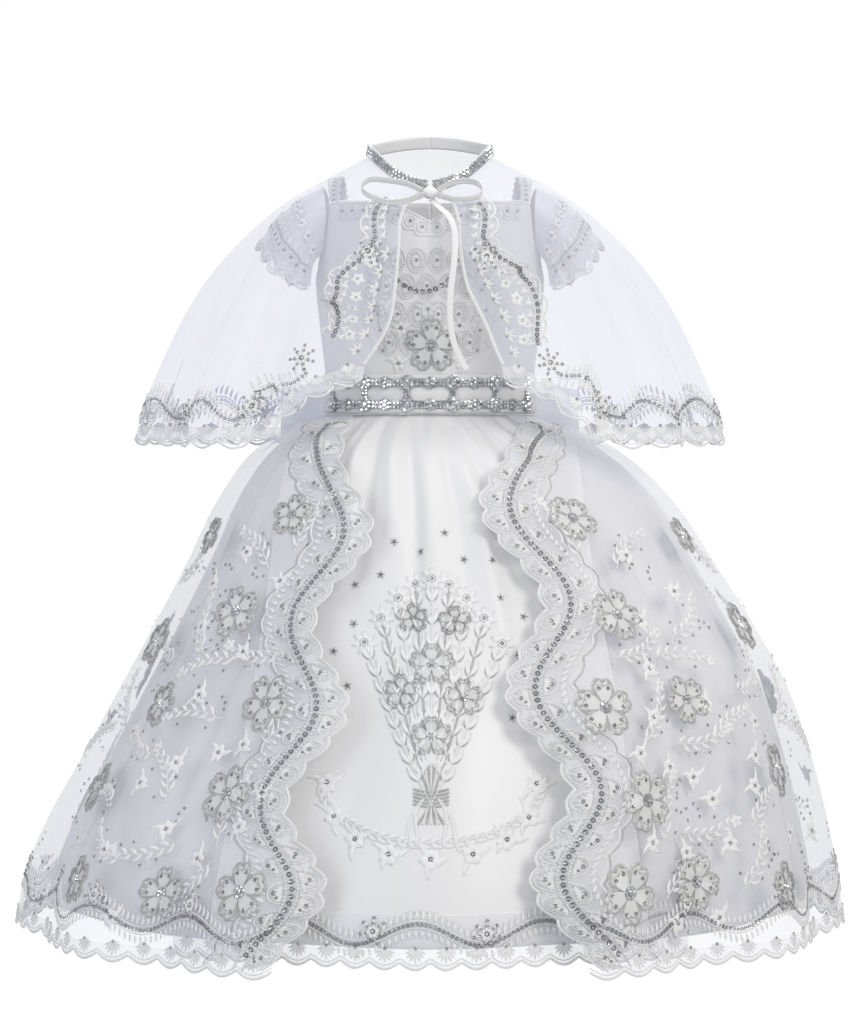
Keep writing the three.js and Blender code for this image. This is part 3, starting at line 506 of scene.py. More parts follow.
def template(*circles, cap=True):
    """A turned button: rings of (radius, height, sides), the last one closed over when cap is set."""
    points, faces, sides = [], [], circles[0][2]
    angle = np.arange(sides) * TURN / sides
    for radius, height, _ in circles:
        circle = [radius * np.cos(angle), radius * np.sin(angle), np.full(sides, height)]
        points.append(np.stack(circle, axis=-1))
    for n in range(len(circles) - 1):
        i = np.arange(sides)
        k = (i + 1) % sides
        here, above = n * sides, (n + 1) * sides
        faces.append(np.stack([here + i, here + k, above + k, above + i], axis=-1))
    points = np.concatenate(points)
    faces = np.concatenate(faces)
    if cap:
        points = np.concatenate([points, [[0, 0, circles[-1][1]]]])
        last = (len(circles) - 1) * sides
        i = np.arange(sides)
        centre = np.full(sides, len(points) - 1)
        faces = np.concatenate([faces, np.stack([last + i, last + (i + 1) % sides, centre, centre], axis=-1)])
    return points, faces


SEQUIN = template((1.0, -0.06, 9), (0.86, 0.12, 9), (0.42, -0.05, 9), cap=False)
STONE = template((1.0, 0.0, 8), (1.0, 0.35, 8), (0.58, 0.78, 8))
SETTING_CUP = template((1.0, -0.08, 12), (1.0, 0.12, 12), (0.8, 0.2, 12))


def studs(work, chart, u, w, size, shape, lift=0.55, lean=0.0):
    """Copies of a small button set on a cloth, each leant a little its own way."""
    u, w, size = np.broadcast_arrays(np.asarray(u, float), w, size)
    place = chart(u, w, lift)
    normal = unit(chart(u, w, lift + 1.0) - place)
    right = chart(u + 0.05, w, lift) - place
    if lean:
        normal = unit(normal + dice.normal(0, lean, normal.shape))
    right = unit(right - normal * (right * normal).sum(axis=-1, keepdims=True))
    up = np.cross(normal, right)
    points, faces = shape
    measures = (place, normal, right, up, size)
    place, normal, right, up, size = (v.reshape(-1, 1, *v.shape[u.ndim:]) for v in measures)
    size = size[..., None] / 2
    x, y, z = points[None, :, :1], points[None, :, 1:2], points[None, :, 2:]
    spread = place + size * (x * right + y * up + z * normal)
    count = len(spread)
    faces = (faces[None] + (np.arange(count) * len(points))[:, None, None]).reshape(-1, 4)
    capped = faces[:, 2] == faces[:, 3]
    base = work.count
    work.add(spread, faces[~capped], np.array([0.0, 0.0]))
    if capped.any():
        work.faces.append(faces[capped][:, :3] + base)


# Finishes

class Value:
    """A number or colour in a node tree; arithmetic on it adds Math nodes."""

    def __init__(self, finish, output):
        self.finish, self.output = finish, output

    def sum(self, other, kind, turned=False):
        pair = (other, self) if turned else (self, other)
        return self.finish.node("ShaderNodeMath", {"operation": kind}, {0: pair[0], 1: pair[1]})

    def __add__(self, other):
        return self.sum(other, "ADD")

    __radd__ = __add__

    def __mul__(self, other):
        return self.sum(other, "MULTIPLY")

    __rmul__ = __mul__

    def __sub__(self, other):
        return self.sum(other, "SUBTRACT")

    def __rsub__(self, other):
        return self.sum(other, "SUBTRACT", turned=True)

    def __pow__(self, other):
        return self.sum(other, "POWER")


class Finish:
    """A material whose varying inputs are built from expressions."""

    def __init__(self, name, **constants):
        self.material = bpy.data.materials.new(name)
        self.material.use_nodes = True
        self.tree = self.material.node_tree
        self.surface = self.tree.nodes["Principled BSDF"]
        for socket, value in constants.items():
            self.surface.inputs[socket.replace("_", " ")].default_value = value

    def node(self, kind, settings=None, inputs=None, output=0):
        """Any other node: its settings first, then the values or links of its sockets."""
        node = self.tree.nodes.new(kind)
        for name, value in (settings or {}).items():
            if name == "stops":
                ramp = node.color_ramp
                while len(ramp.elements) < len(value):
                    ramp.elements.new(0.5)
                for element, (place, colour) in zip(ramp.elements, value):
                    element.position = place
                    element.color = colour
            else:
                setattr(node, name, value)
        for socket, value in (inputs or {}).items():
            self.feed(node.inputs[socket], value)
        return Value(self, node.outputs[output])

    def feed(self, socket, value):
        if isinstance(value, Value):
            self.tree.links.new(value.output, socket)
        else:
            socket.default_value = value

    def place(self, scale=1.0):
        here = self.node("ShaderNodeTexCoord", output="Object")
        return self.node("ShaderNodeMapping", None, {"Vector": here, "Scale": (scale,) * 3})

    def stitch(self):
        """The cloth's own flat coordinates, in millimetres."""
        return self.node("ShaderNodeUVMap", {"uv_map": "Stitch"})

    def noise(self, vector, scale, detail=2.0):
        return self.node("ShaderNodeTexNoise", None, {"Vector": vector, "Scale": scale, "Detail": detail})

    def threads(self, vector, pitch, direction):
        """Fine parallel threads, one each pitch of the flat coordinates."""
        settings = {"wave_type": "BANDS", "bands_direction": direction, "wave_profile": "SIN"}
        inputs = {"Vector": vector, "Scale": TURN / 20 / pitch}
        return self.node("ShaderNodeTexWave", settings, inputs, output=1)

    def mix(self, share, one, other):
        settings = {"data_type": "RGBA"}
        return self.node("ShaderNodeMix", settings, {0: share, 6: one, 7: other}, output=2)

    def set(self, socket, value):
        self.feed(self.surface.inputs[socket], value)

    def bump(self, height, strength, distance):
        self.set("Normal", self.node("ShaderNodeBump", None, {
            "Height": height, "Strength": strength, "Distance": distance * MM,
        }))


def satin_finish(name, shade, cool):
    """Smooth woven satin: a faint weave, a silky gloss and a sheen, with soft uneven tone."""
    finish = Finish(name, Roughness=0.36, Sheen_Weight=0.25, Sheen_Roughness=0.35, IOR=1.45)
    flat = finish.stitch()
    tone = finish.noise(finish.place(1.0), 9.0, 3.0)
    finish.set("Base Color", finish.mix(tone, (*shade, 1), (*cool, 1)))
    weave = finish.threads(flat, 0.45, "X") * 0.5 + finish.threads(flat, 0.6, "Y") * 0.3
    drawn_out = finish.node("ShaderNodeMapping", None, {"Vector": flat, "Scale": (0.02, 0.6, 1)})
    slub = finish.noise(drawn_out, 1.0)
    finish.set("Roughness", 0.30 + slub * 0.14)
    finish.bump(weave * 0.5 + slub, 0.22, 0.12)
    return finish.material


def organza_finish(name, tint, veil, net=0.12):
    """Sheer crisp cloth: a see-through weave with a little shine on its threads."""
    finish = Finish(name, Roughness=0.42, Sheen_Weight=0.3, Sheen_Roughness=0.4, IOR=1.4)
    flat = finish.stitch()
    weave = finish.threads(flat, 0.5, "X") * finish.threads(flat, 0.5, "Y")
    cloud = finish.noise(finish.place(1.0), 14.0, 2.0)
    finish.set("Base Color", finish.mix(cloud, (*tint, 1), (0.90, 0.91, 0.97, 1)))
    finish.set("Alpha", veil + weave * net + cloud * 0.06)
    finish.bump(weave, 0.15, 0.1)
    return finish.material


def thread_finish(name, colour, gloss, metal=0.0):
    """Embroidery: close stitches across each ridge, glossy along their length."""
    finish = Finish(name, Metallic=metal, Sheen_Weight=0.2, Sheen_Roughness=0.4)
    flat = finish.stitch()
    stitch = finish.threads(flat, 0.55, "X")
    tone = finish.noise(finish.place(1.0), 60.0, 2.0)
    darker = tuple(c * 0.86 for c in colour)
    finish.set("Base Color", finish.mix(tone, (*colour, 1), (*darker, 1)))
    finish.set("Roughness", gloss + stitch * 0.15)
    finish.bump(stitch, 0.5, 0.25)
    return finish.material


def stone_finish(name, colour, rough, metal):
    """Foiled glass and silvered sequins: bright facets with small differences from one to the next."""
    finish = Finish(name, Metallic=metal, IOR=1.7, Coat_Weight=0.6, Coat_Roughness=0.05)
    cell = finish.node("ShaderNodeTexVoronoi", None, {"Vector": finish.place(1.0), "Scale": 420.0}, output=1)
    grey = finish.node("ShaderNodeSeparateColor", None, {"Color": cell}, output=0)
    darker = tuple(c * 0.45 for c in colour)
    finish.set("Base Color", finish.mix(grey, (*colour, 1), (*darker, 1)))
    finish.set("Roughness", rough + grey * 0.08)
    return finish.material


SATIN = satin_finish("White bridal satin", (0.84, 0.832, 0.82), (0.80, 0.797, 0.803))
RIBBON_SATIN = satin_finish("Ivory ribbon satin", (0.90, 0.885, 0.86), (0.86, 0.855, 0.85))
ORGANZA = organza_finish("White organza", (0.86, 0.87, 0.95), 0.25)
CAPE_ORGANZA = organza_finish("Cape organza", (0.72, 0.75, 0.98), 0.19)
LACE_NET = organza_finish("Lace net", (0.93, 0.93, 0.95), 0.42, 0.2)
HEM_NET = organza_finish("Hem lace net", (0.97, 0.97, 0.98), 0.36, 0.2)
SASH_ORGANZA = organza_finish("Sash organza", (0.88, 0.90, 0.96), 0.62, 0.15)
THREAD = thread_finish("White rayon thread", (0.97, 0.965, 0.96), 0.32)
PALE_THREAD = thread_finish("Pale grey thread", (0.80, 0.80, 0.79), 0.34, 0.1)
# Silver thread made darker than real silver, so that its lines stand in for the grey shading between white
# stitches: partly real silver, partly painted shade.
SILVER_SHADE_THREAD = thread_finish("Silver thread and painted shade", (0.56, 0.56, 0.55), 0.32, 0.4)
SEQUINS = stone_finish("Silver sequins", (0.33, 0.33, 0.34), 0.2, 0.85)
STONES = stone_finish("Foiled glass stones", (0.95, 0.96, 0.98), 0.06, 0.9)
SETTING = stone_finish("Silvered settings", (0.62, 0.62, 0.63), 0.25, 0.9)


# Camera and light

def make_camera():
    data = bpy.data.cameras.new("Camera")
    data.sensor_fit = "VERTICAL"
    data.sensor_height = 36
    data.lens = 121.5
    data.clip_end = 30
    camera = bpy.data.objects.new("Camera", data)
    bpy.context.collection.objects.link(camera)
    camera.location = (-0.0026, -3.04, -0.190)
    camera.rotation_euler = (math.radians(90) - math.atan2(0.098, 3.04), 0, 0)
    bpy.context.scene.camera = camera


def lamp(name, place, target, size, power, colour):
    data = bpy.data.lights.new(name, "AREA")
    data.shape = "RECTANGLE"
    data.size, data.size_y = size
    data.energy = power
    data.color = colour
    light = bpy.data.objects.new(name, data)
    bpy.context.collection.objects.link(light)
    light.location = place
    way = np.array(target, float) - np.array(place, float)
    light.rotation_euler = (math.atan2(math.hypot(way[0], way[1]), -way[2]), 0, math.atan2(-way[0], way[1]))


def make_stage():
    scene = bpy.context.scene
    scene.view_settings.view_transform = "Standard"
    scene.cycles.transparent_max_bounces = 32
    world = bpy.data.worlds.new("White studio")
    scene.world = world
    world.use_nodes = True
    tree = world.node_tree
    background = tree.nodes["Background"]
    seen = tree.nodes.new("ShaderNodeBackground")
    seen.inputs["Color"].default_value = (1, 1, 1, 1)
    seen.inputs["Strength"].default_value = 1.02
    background.inputs["Color"].default_value = (0.95, 0.965, 1.0, 1)
    background.inputs["Strength"].default_value = 0.57
    path = tree.nodes.new("ShaderNodeLightPath")
    mix = tree.nodes.new("ShaderNodeMixShader")
    tree.links.new(path.outputs["Is Camera Ray"], mix.inputs[0])
    tree.links.new(background.outputs[0], mix.inputs[1])
    tree.links.new(seen.outputs[0], mix.inputs[2])
    tree.links.new(mix.outputs[0], tree.nodes["World Output"].inputs["Surface"])
    lamp("Key", (1.9, -2.4, 1.5), (0, 0, -0.25), (1.3, 1.6), 46, (1.0, 0.965, 0.92))
    lamp("Fill", (-2.2, -2.2, 0.4), (0, 0, -0.35), (1.8, 2.2), 21, (0.86, 0.91, 1.0))
    lamp("Top", (0.1, 0.5, 2.2), (0, 0, -0.3), (2.0, 1.6), 20, (0.96, 0.98, 1.0))
    lamp("Back", (0.4, 2.6, 0.6), (0, 0, -0.3), (2.4, 2.0), 12, (0.97, 0.98, 1.0))


make_camera()
make_stage()


# Neck ribbon: the places across, forward and up that its pieces pass, as in the part's source
BOW_LOOP_RIGHT = [
    (-6, -60, -9.5), (-20, -61, -3.5), (-38, -60, -0.5), (-52, -61, 0), (-59, -67, -7),
    (-53, -76.5, -14), (-38, -84, -20.5), (-22, -82.5, -19.5), (-6, -68, -13.5),
]
BOW_LOOP_LEFT = [
    (6, -60, -9.5), (18, -61, -3), (31, -60, -1), (41, -61, -3.5), (45, -66, -10),
    (39, -76, -16), (22, -79, -18), (6, -68, -13.5),
]
RIBBON_END = [
    (1.5, -65, -17.4), (8, -77, -24.5), (16, -90, -33), (21, -99, -47), (20.5, -106, -70),
    (17.5, -108, -97), (17, -107, -120), (20, -105, -140), (26, -103, -155), (32, -102, -165),
]
BOW_KNOT = {"place": (0, -63, -11.5), "half": (7, 7.5, 5.5)}


def curve_through(places, count):
    """A smooth curve through places, as cubics with mean slopes, at even spacing."""
    places = np.array(places, float)
    gaps = np.sqrt(np.linalg.norm(np.diff(places, axis=0), axis=1))
    key = np.concatenate([[0], np.cumsum(gaps)])
    rows = {"key": key, "x": places[:, 0], "y": places[:, 1], "z": places[:, 2]}
    fine = np.linspace(0, key[-1], 400)
    points = xyz(*(read(rows, axis, fine) for axis in "xyz"))
    length = np.concatenate([[0], np.cumsum(np.linalg.norm(np.diff(points, axis=0), axis=1))])
    even = np.linspace(0, length[-1], count)
    return np.stack([np.interp(even, length, points[:, n]) for n in range(3)], axis=-1), length[-1]


def ribbon(name, path, side, width, replaces, crown=0.35):
    """A ribbon: its width along side at each point of the path, faintly crowned across."""
    share = np.linspace(-0.5, 0.5, 7)[:, None, None]
    ahead = unit(np.gradient(path, axis=0))
    face = unit(np.cross(side, ahead))
    crown = crown * np.cos(math.pi * share)
    points = path[None] + share * width * unit(side)[None] + face[None] * crown
    return cloth(name, points, RIBBON_SATIN, "ribbon", replaces, thick=0.35)


def make_tie():
    end, length = curve_through(RIBBON_END, 60)
    t = np.linspace(0, 1, len(end))[:, None]
    facing_out = np.concatenate([0 * t, -0.75 - 0.25 * t, 0.66 * (1 - t)], axis=1)
    side = np.cross(unit(np.gradient(end, axis=0)), facing_out)
    tail = ribbon("Ribbon end", end, side, 5.5, ["tie_end"])
    for name, places, node in (
        ("Ribbon loop left", BOW_LOOP_LEFT, "tie_loop_left"),
        ("Ribbon loop right", BOW_LOOP_RIGHT, "tie_loop_right"),
    ):
        path, _ = curve_through(places, 60)
        upright = np.broadcast_to(np.array([0, -0.75, 0.66]), path.shape)
        ribbon(name, path, upright, 7, [node])
    place, half = BOW_KNOT["place"], BOW_KNOT["half"]
    knot = make_knot("Ribbon knot", place, half, RIBBON_SATIN, "ribbon", "tie_knot", 0.5)


def make_knot(name, place, half, finish, slot, node, folds):
    """A knot: an ellipsoid with soft folds that wrap round it."""
    across = np.linspace(0, math.pi, 15)[:, None]
    around = np.linspace(0, TURN, 25)[None, :-1]
    swell = 1 - 0.035 * folds * (1 + np.cos(6 * across + 1.5 * np.sin(around)))
    x = np.cos(across) * np.ones_like(around)
    y, z = -np.sin(across) * np.cos(around), np.sin(across) * np.sin(around)
    points = xyz(x * half[0], y * half[1], z * half[2])
    points = points * swell[..., None] + np.array(place, float)
    return cloth(name, points[:, ::-1], finish, slot, [node], closed=True)


make_tie()


# Bodice

def bodice_grid(turns, rows):
    turn = np.array(turns)[None, :]
    top = np.interp(np.abs(turn), BODICE_TOP["turn"], BODICE_TOP["down"])
    down = top + (WAIST - 0.4 - top) * np.linspace(0, 1, rows)[:, None]
    return torso(np.radians(turn), down)


def make_bodice():
    seam = 0.15
    front = np.linspace(-90 + seam, 90 - seam, 121)
    back = np.linspace(90 + seam, 180 - seam, 61)
    pieces = [
        cloth("Bodice front", bodice_grid(front, 40), SATIN, "satin", ["bodice_front"], thick=0.8),
        cloth("Bodice back left", bodice_grid(back, 40), SATIN, "satin", ["bodice_back_left"], thick=0.8),
        cloth(
            "Bodice back right", bodice_grid(back, 40), SATIN, "satin", ["bodice_back_right"],
            thick=0.8, mirrored=True,
        ),
    ]
    return pieces


def make_strap(side):
    name = "left" if side > 0 else "right"
    along_it = np.linspace(0, 1, 85)[None, :]
    row = np.linspace(0, 1, 9)[:, None]
    edge = 0.16 * np.abs(np.sin(math.pi * 8 * along_it)) - 0.08
    points = strap(*np.broadcast_arrays(along_it, row + edge * (2 * row - 1)))
    return cloth(f"Strap {name}", points, LACE_NET, "lace", [f"strap_{name}"], thick=0.4, mirrored=side < 0)


def make_sleeve(side):
    name = "left" if side > 0 else "right"
    along_it = np.linspace(0, 1, 161)[None, :]
    row = np.linspace(0, 1, 22)[:, None]
    under = cloth(
        f"Satin sleeve {name}", sleeve(*np.broadcast_arrays(along_it, row * 0.88)), SATIN, "satin",
        [f"sleeve_satin_{name}"], thick=0.6, mirrored=side < 0,
    )
    rim = 0.90 + 0.10 * np.abs(np.sin(math.pi * 10 * along_it))
    a, b = np.broadcast_arrays(along_it, row * rim)
    over = cloth(
        f"Lace sleeve {name}", raised(sleeve, a, b, 2.0 + 3.5 * b), LACE_NET, "lace",
        [f"sleeve_lace_{name}"], mirrored=side < 0,
    )
    return [under, over]


def sleeve_lace(along_it, row):
    """The lace layer of the wearer's left sleeve, where its stitches lie."""
    return sleeve(along_it, row) + facing(sleeve, along_it, row, (1e-3, 1e-3)) * (2.0 + 3.5 * row)[..., None]


# Skirts

def half_turns(side, down, columns, front_clear=0.5):
    name = "left" if side > 0 else "right"
    wide = read(OVERSKIRT, "wide", down)
    front = np.radians(read(BORDER_SEAM, name, down)) + front_clear / wide
    turn = front[:, None] + (math.pi - 0.3 / wide - front)[:, None] * np.linspace(0, 1, columns)[None, :]
    return turn if side > 0 else -turn[:, ::-1]


def make_overskirt(side):
    name = "left" if side > 0 else "right"
    down = np.concatenate([np.linspace(202.6, 250, 24), np.linspace(252, OVERSKIRT_HEM, 70)])
    points = overskirt(half_turns(side, down, 220), down[:, None])
    return cloth(f"Overskirt {name}", points, ORGANZA, "organza", [f"overskirt_{name}"])


def hem_drop(turn):
    """How far the scalloped lace hangs below the overskirt's hem, at an angle from the front."""
    share = (turn - HEM_SEAM) / (math.pi - HEM_SEAM)
    return SCALLOP_DEPTH * (0.62 + 0.38 * np.abs(np.sin(math.pi * HEM_SCALLOPS * share)))


def make_overskirt_hem(side):
    name = "left" if side > 0 else "right"
    turn = half_turns(side, np.array([float(OVERSKIRT_HEM)]), HEM_SCALLOPS * 16 + 1)
    down = OVERSKIRT_HEM + 0.3 + (hem_drop(np.abs(turn)) - 0.3) * np.linspace(0, 1, 7)[:, None]
    points = overskirt(np.broadcast_to(turn, down.shape), down)
    return cloth(f"Overskirt hem {name}", points, LACE_NET, "lace", [f"overskirt_hem_{name}"])


def border_edge(wave, down, inside):
    """The angle of a line that runs beside a border's sequins, some millimetres nearer the centre front."""
    sequins = turn_across(border_across(wave, down), down)
    return sequins - wave["side"] * inside / read(OVERSKIRT, "wide", down)


def border_width(down):
    """From a border's sequins to its scalloped free edge."""
    return BORDER_FREE_EDGE - 6 + 6 * np.abs(np.sin(math.pi * down / 20))


def make_border(side):
    name = "left" if side > 0 else "right"
    wave = BORDER_WAVE[name]
    down = np.concatenate([np.linspace(202.6, 214, 12), np.linspace(214.6, 646, 500)])
    free = border_edge(wave, down, border_width(down))
    sewn = side * (np.radians(read(BORDER_SEAM, name, down)))
    share = np.linspace(0, 1, 26)[None, :]
    turn = free[:, None] + (sewn - free)[:, None] * (share if side > 0 else 1 - share)
    foot = OVERSKIRT_HEM + hem_drop(np.abs(turn))
    points = overskirt(turn, np.minimum(down[:, None], foot))
    return cloth(f"Border {name}", points, LACE_NET, "lace", [f"border_{name}"])


def make_satin_skirt():
    down = np.concatenate([np.linspace(202.6, 262, 29), np.linspace(267, SATIN_HEM, 51)])[:, None]
    seam, gap = math.radians(72), 0.0008
    pieces = []
    for name, node, start, end, columns in (
        ("Skirt front", "skirt_front", -seam, seam, 272),
        ("Skirt back left", "skirt_back_left", seam, math.pi, 182),
        ("Skirt back right", "skirt_back_right", -math.pi, -seam, 182),
    ):
        turn = np.linspace(start + gap, end - gap, columns)[None, :]
        pieces.append(cloth(name, satin(turn, down), SATIN, "satin", [node], thick=0.6))
    return pieces


def make_front_hem():
    share = np.linspace(-1, 1, 18 * 14 + 1)[None, :]
    bottom = 634 + 6 * np.abs(np.sin(math.pi * 18 * (share + 1) / 2))
    down = 596 + (bottom - 596) * np.linspace(0, 1, 16)[:, None]
    turn = np.broadcast_to(share * math.radians(38), down.shape)
    return cloth("Skirt hem lace", raised(satin, turn, down, 1.6), HEM_NET, "lace", ["skirt_hem_lace"])


# Cape

def make_cape():
    turn, step = cape_place(np.linspace(0, 1, 440)[None, :], np.linspace(0, 1, 80)[:, None])
    return cloth("Cape", cape(turn, step), CAPE_ORGANZA, "organza", ["cape"])


def make_cape_hem(side):
    name = "left" if side > 0 else "right"
    scallops = 21
    share = np.linspace(0, 1, scallops * 14 + 1)[None, :]
    round_it = share * 0.5 if side > 0 else 0.5 + share * 0.5
    drop = 0.56 * (0.62 + 0.38 * np.abs(np.sin(math.pi * scallops * share)))
    turn, step = cape_place(round_it, 1.0)
    drop = 0.02 + (drop - 0.02) * np.linspace(0, 1, 7)[:, None]
    points = cape(np.broadcast_to(turn, drop.shape), step + drop)
    return cloth(f"Cape hem {name}", points, LACE_NET, "lace", [f"cape_hem_{name}"])


def collar_at(turn, high):
    """The stand-up neck band, which leans in a little."""
    foot = cape(turn, 0 * turn)
    lean = -2 * high / 11
    return foot + xyz(lean * np.sin(turn), -lean * np.cos(turn), 0.7 + high)


def make_collar(side):
    name = "left" if side > 0 else "right"
    turn = np.linspace(math.radians(3), math.pi - 0.003, 90)
    high = np.linspace(11, 0, 6)
    turn, high = np.broadcast_arrays(turn[None, :], high[:, None])
    return cloth(
        f"Neck band {name}", collar_at(turn, high), SATIN, "satin", [f"collar_{name}"], thick=1.2,
        mirrored=side < 0,
    )


# Belt and sash

def belt_at(turn, down):
    return raised(torso, turn, down, BELT_LIFT)


def arc_turns():
    """Angles round the belt, and their length of arc from the centre front."""
    turn = np.linspace(0, math.pi, 600)
    points = belt_at(turn, np.full(600, 184.0))
    length = np.concatenate([[0], np.cumsum(np.linalg.norm(np.diff(points, axis=0), axis=1))])
    return turn, length


def turn_at_arc(arc):
    turn, length = arc_turns()
    return np.sign(arc) * np.interp(np.abs(arc), length, turn)


def make_belt():
    turn = np.linspace(0, TURN, 241)[None, :-1]
    down = np.linspace(BELT_TOP, BELT_BOTTOM, 14)[:, None]
    tuck = 0.35 * np.cos(TURN * (down - 184) / 11)
    points = raised(torso, turn, down, BELT_LIFT) + xyz(np.sin(turn) * tuck, -np.cos(turn) * tuck, 0)
    return cloth("Belt band", points, SATIN, "satin", ["belt_band"], thick=1.2, closed=True)


def make_trim():
    """The stone trim: two rails of stones, clusters on them, and uprights between the big clusters."""
    stones, setting = Work(), Work()
    rows = (174.5, 193.5)
    base = BELT_LIFT + 0.65

    def front(u, w, lift):
        return raised(torso, turn_at_arc(u), 184 - w, base + lift)

    for row in rows:
        for shift in (-2.0, 1.6):
            arc = np.arange(-100, 100.1, 3.3)
            studs(stones, front, arc, 184 - row + shift * 0.9 + 0.2, 3.0, STONE, lift=0.6, lean=0.06)
        rail = np.stack([np.linspace(-102, 102, 120), np.full(120, 184 - row)], axis=-1)
        ridges(setting, front, rail[None], 7.0, 0.5, base=0.15)
    for n in range(-5, 6):
        big = n % 2 != 0
        for row in rows:
            arc, up = n * 19.6, 184 - row
            radius = 4.6 if big else 3.4
            count = 8 if big else 6
            angle = np.arange(count) * TURN / count + 0.4
            studs(
                stones, front, arc + radius * np.cos(angle), up + radius * np.sin(angle),
                3.8 if big else 3.3, STONE, lift=1.7, lean=0.08,
            )
            studs(stones, front, [arc], [up], 6.2 if big else 4.0, STONE, lift=2.0)
            studs(setting, front, [arc], [up], 13.5 if big else 10.4, SETTING_CUP, lift=0.6)
        if big:
            up = np.arange(-6, 6.1, 3.0)
            studs(stones, front, np.full(5, n * 19.6 - 1.5), up, 2.9, STONE, lift=0.7, lean=0.06)
            studs(stones, front, np.full(5, n * 19.6 + 1.5), up, 2.9, STONE, lift=0.7, lean=0.06)
    stones.piece("Belt stones", STONES, "stones", ["belt_trim"], shade=False)
    setting.piece("Belt settings", SETTING, "stones", ["belt_trim"], shade=False)


SASH_LOOP = [
    (-11.5, 95, -186), (-60, 110, -188), (-106, 109, -196), (-134, 95, -203), (-129, 85, -203),
    (-98, 92, -197), (-60, 98, -190), (-11.5, 87.5, -187),
]


def make_sash():
    pieces = []
    path, _ = curve_through(SASH_LOOP, 110)
    row = np.linspace(0.5, -0.5, 15)[:, None]
    width = 44 * (0.5 + 0.5 * np.clip((-path[:, 0] - 10) / 60, 0, 1))
    pleats = 1.6 * np.exp(-((path[:, 0] + 20) / 34) ** 2)
    crease = pleats * np.sin(3.5 * TURN * row) + 0.8 * np.sin(2 * TURN * row)
    points = path[None] + xyz(0 * crease, crease, row * width[None])
    for side, name in ((-1, "right"), (1, "left")):
        pieces.append(cloth(
            f"Sash loop {name}", points, SASH_ORGANZA, "organza", [f"sash_loop_{name}"], mirrored=side > 0
        ))
    for side, name in ((-1, "right"), (1, "left")):
        down = np.linspace(209, 420, 70)[:, None]
        spread = (down - 209) / 211
        share = np.linspace(-1, 1, 15)[None, :]
        wide = 30 * (0.5 + 0.5 * np.minimum(1, spread * 3))
        x = side * (9 + 29 * spread) - share * wide / 2
        turn = math.pi - np.arcsin(x / read(OVERSKIRT, "wide", down))
        lift = 8.2 + 1.6 * np.cos(3 * math.pi * share) + 1.2 * np.sin(5 * spread + 2 * share)
        grid = raised(overskirt, turn, down + 0 * turn, lift)
        pieces.append(cloth(f"Sash end {name}", grid, SASH_ORGANZA, "organza", [f"sash_end_{name}"]))
    place, half = (0, 89.4, -187), (11, 11, 17)
    pieces.append(make_knot("Sash knot", place, half, SASH_ORGANZA, "organza", "sash_knot", 1.0))
    return pieces


# Embroidery motifs, in millimetres about their middle

LOBES = 5
FLOWER_RADIUS = 19


def flower_outline(scale, steps=71):
    """Five petals, each with a dent in its tip."""
    t = np.linspace(0, TURN, steps)
    swing = (t * LOBES / TURN + 0.5) % 1 - 0.5
    reach = 0.34 + 0.66 * np.cos(math.pi * swing) ** 0.5 * (1 - 0.2 * np.exp(-((swing / 0.09) ** 2)))
    radius = FLOWER_RADIUS * scale * reach
    turn = t + math.pi / 2
    return np.stack([radius * np.cos(turn), radius * np.sin(turn)], axis=-1)[None]


def embroider_flowers(kit, spots, beads=True):
    """Big flowers: pale stitched lobes, double silver outlines darkened as painted shade, sequins on the
    lobes, a stone centre.
    """
    middle = math.pi / 2 + np.arange(LOBES) * TURN / LOBES
    lobe = np.repeat(middle, 4) + np.tile([-0.42, -0.15, 0.15, 0.42], LOBES)
    reach = np.tile([13.0, 14.0, 14.0, 13.0], LOBES)
    foot = np.stack([4.2 * np.cos(lobe), 4.2 * np.sin(lobe)], axis=-1)
    spots.draw(kit["pale"], leaves(foot, lobe, reach, 5.4), 0.8)
    for scale, wide in ((1.0, 1.7), (0.8, 0.9)):
        outline = flower_outline(scale)
        spots.draw(kit["silver"], (outline, np.full(outline.shape[:2], wide)), 1.3)
    ring = np.arange(6) * TURN / 6
    spots.set(kit["stones"], 2.9 * np.stack([np.cos(ring), np.sin(ring)], axis=-1), 2.3, STONE, 1.0, 0.1)
    spots.set(kit["stones"], [(0, 0)], 3.2, STONE, 1.3, 0.05)
    if beads:
        place = np.repeat(middle, 2) + np.tile([-0.25, 0.25], LOBES)
        spots.set(kit["sequins"], 12.2 * np.stack([np.cos(place), np.sin(place)], axis=-1), 2.3, SEQUIN, 1.4)


def embroider_sprays(kit, spots, bend=1):
    """Curved stems with paired leaves and a small flower at the tip."""
    t = np.linspace(0, 1, 13)
    stem = np.stack([54 * t, bend * 9 * np.sin(2.6 * t)], axis=-1)
    spots.draw(kit["thread"], (stem[None], np.full((1, 13), 1.1)), 0.6)
    way = np.arctan2(*(np.gradient(stem, axis=0).T[::-1]))
    for side, first in ((1, 1), (-1, 2)):
        at = slice(first, 12, 2)
        long = 12.5 - 5 * t[at]
        spots.draw(kit["thread"], leaves(stem[at], way[at] + side * 1.05, long, 3.4, -side * 0.45, 6), 1.1)
    tip = stem[-1] + np.array([4.5, 0])
    petal = np.arange(5) * TURN / 5 + 0.4
    spots.draw(kit["thread"], leaves(tip, petal, 6.4, 4.4), 0.8)
    beside = [(18, bend * 15), (31, bend * 18.5), (40, -bend * 3), (12, -bend * 7)]
    spots.set(kit["sequins"], [tip, *beside], 2.7, SEQUIN)
    curl = np.linspace(0, 4.6, 13)
    radius = 1.2 + 4.2 * (1 - curl / 4.6)
    hook = np.stack([26 + radius * np.cos(curl), bend * (17 + radius * np.sin(curl))], axis=-1)
    spots.draw(kit["thread"], (hook[None], np.full((1, 13), 1.0)), 0.5)


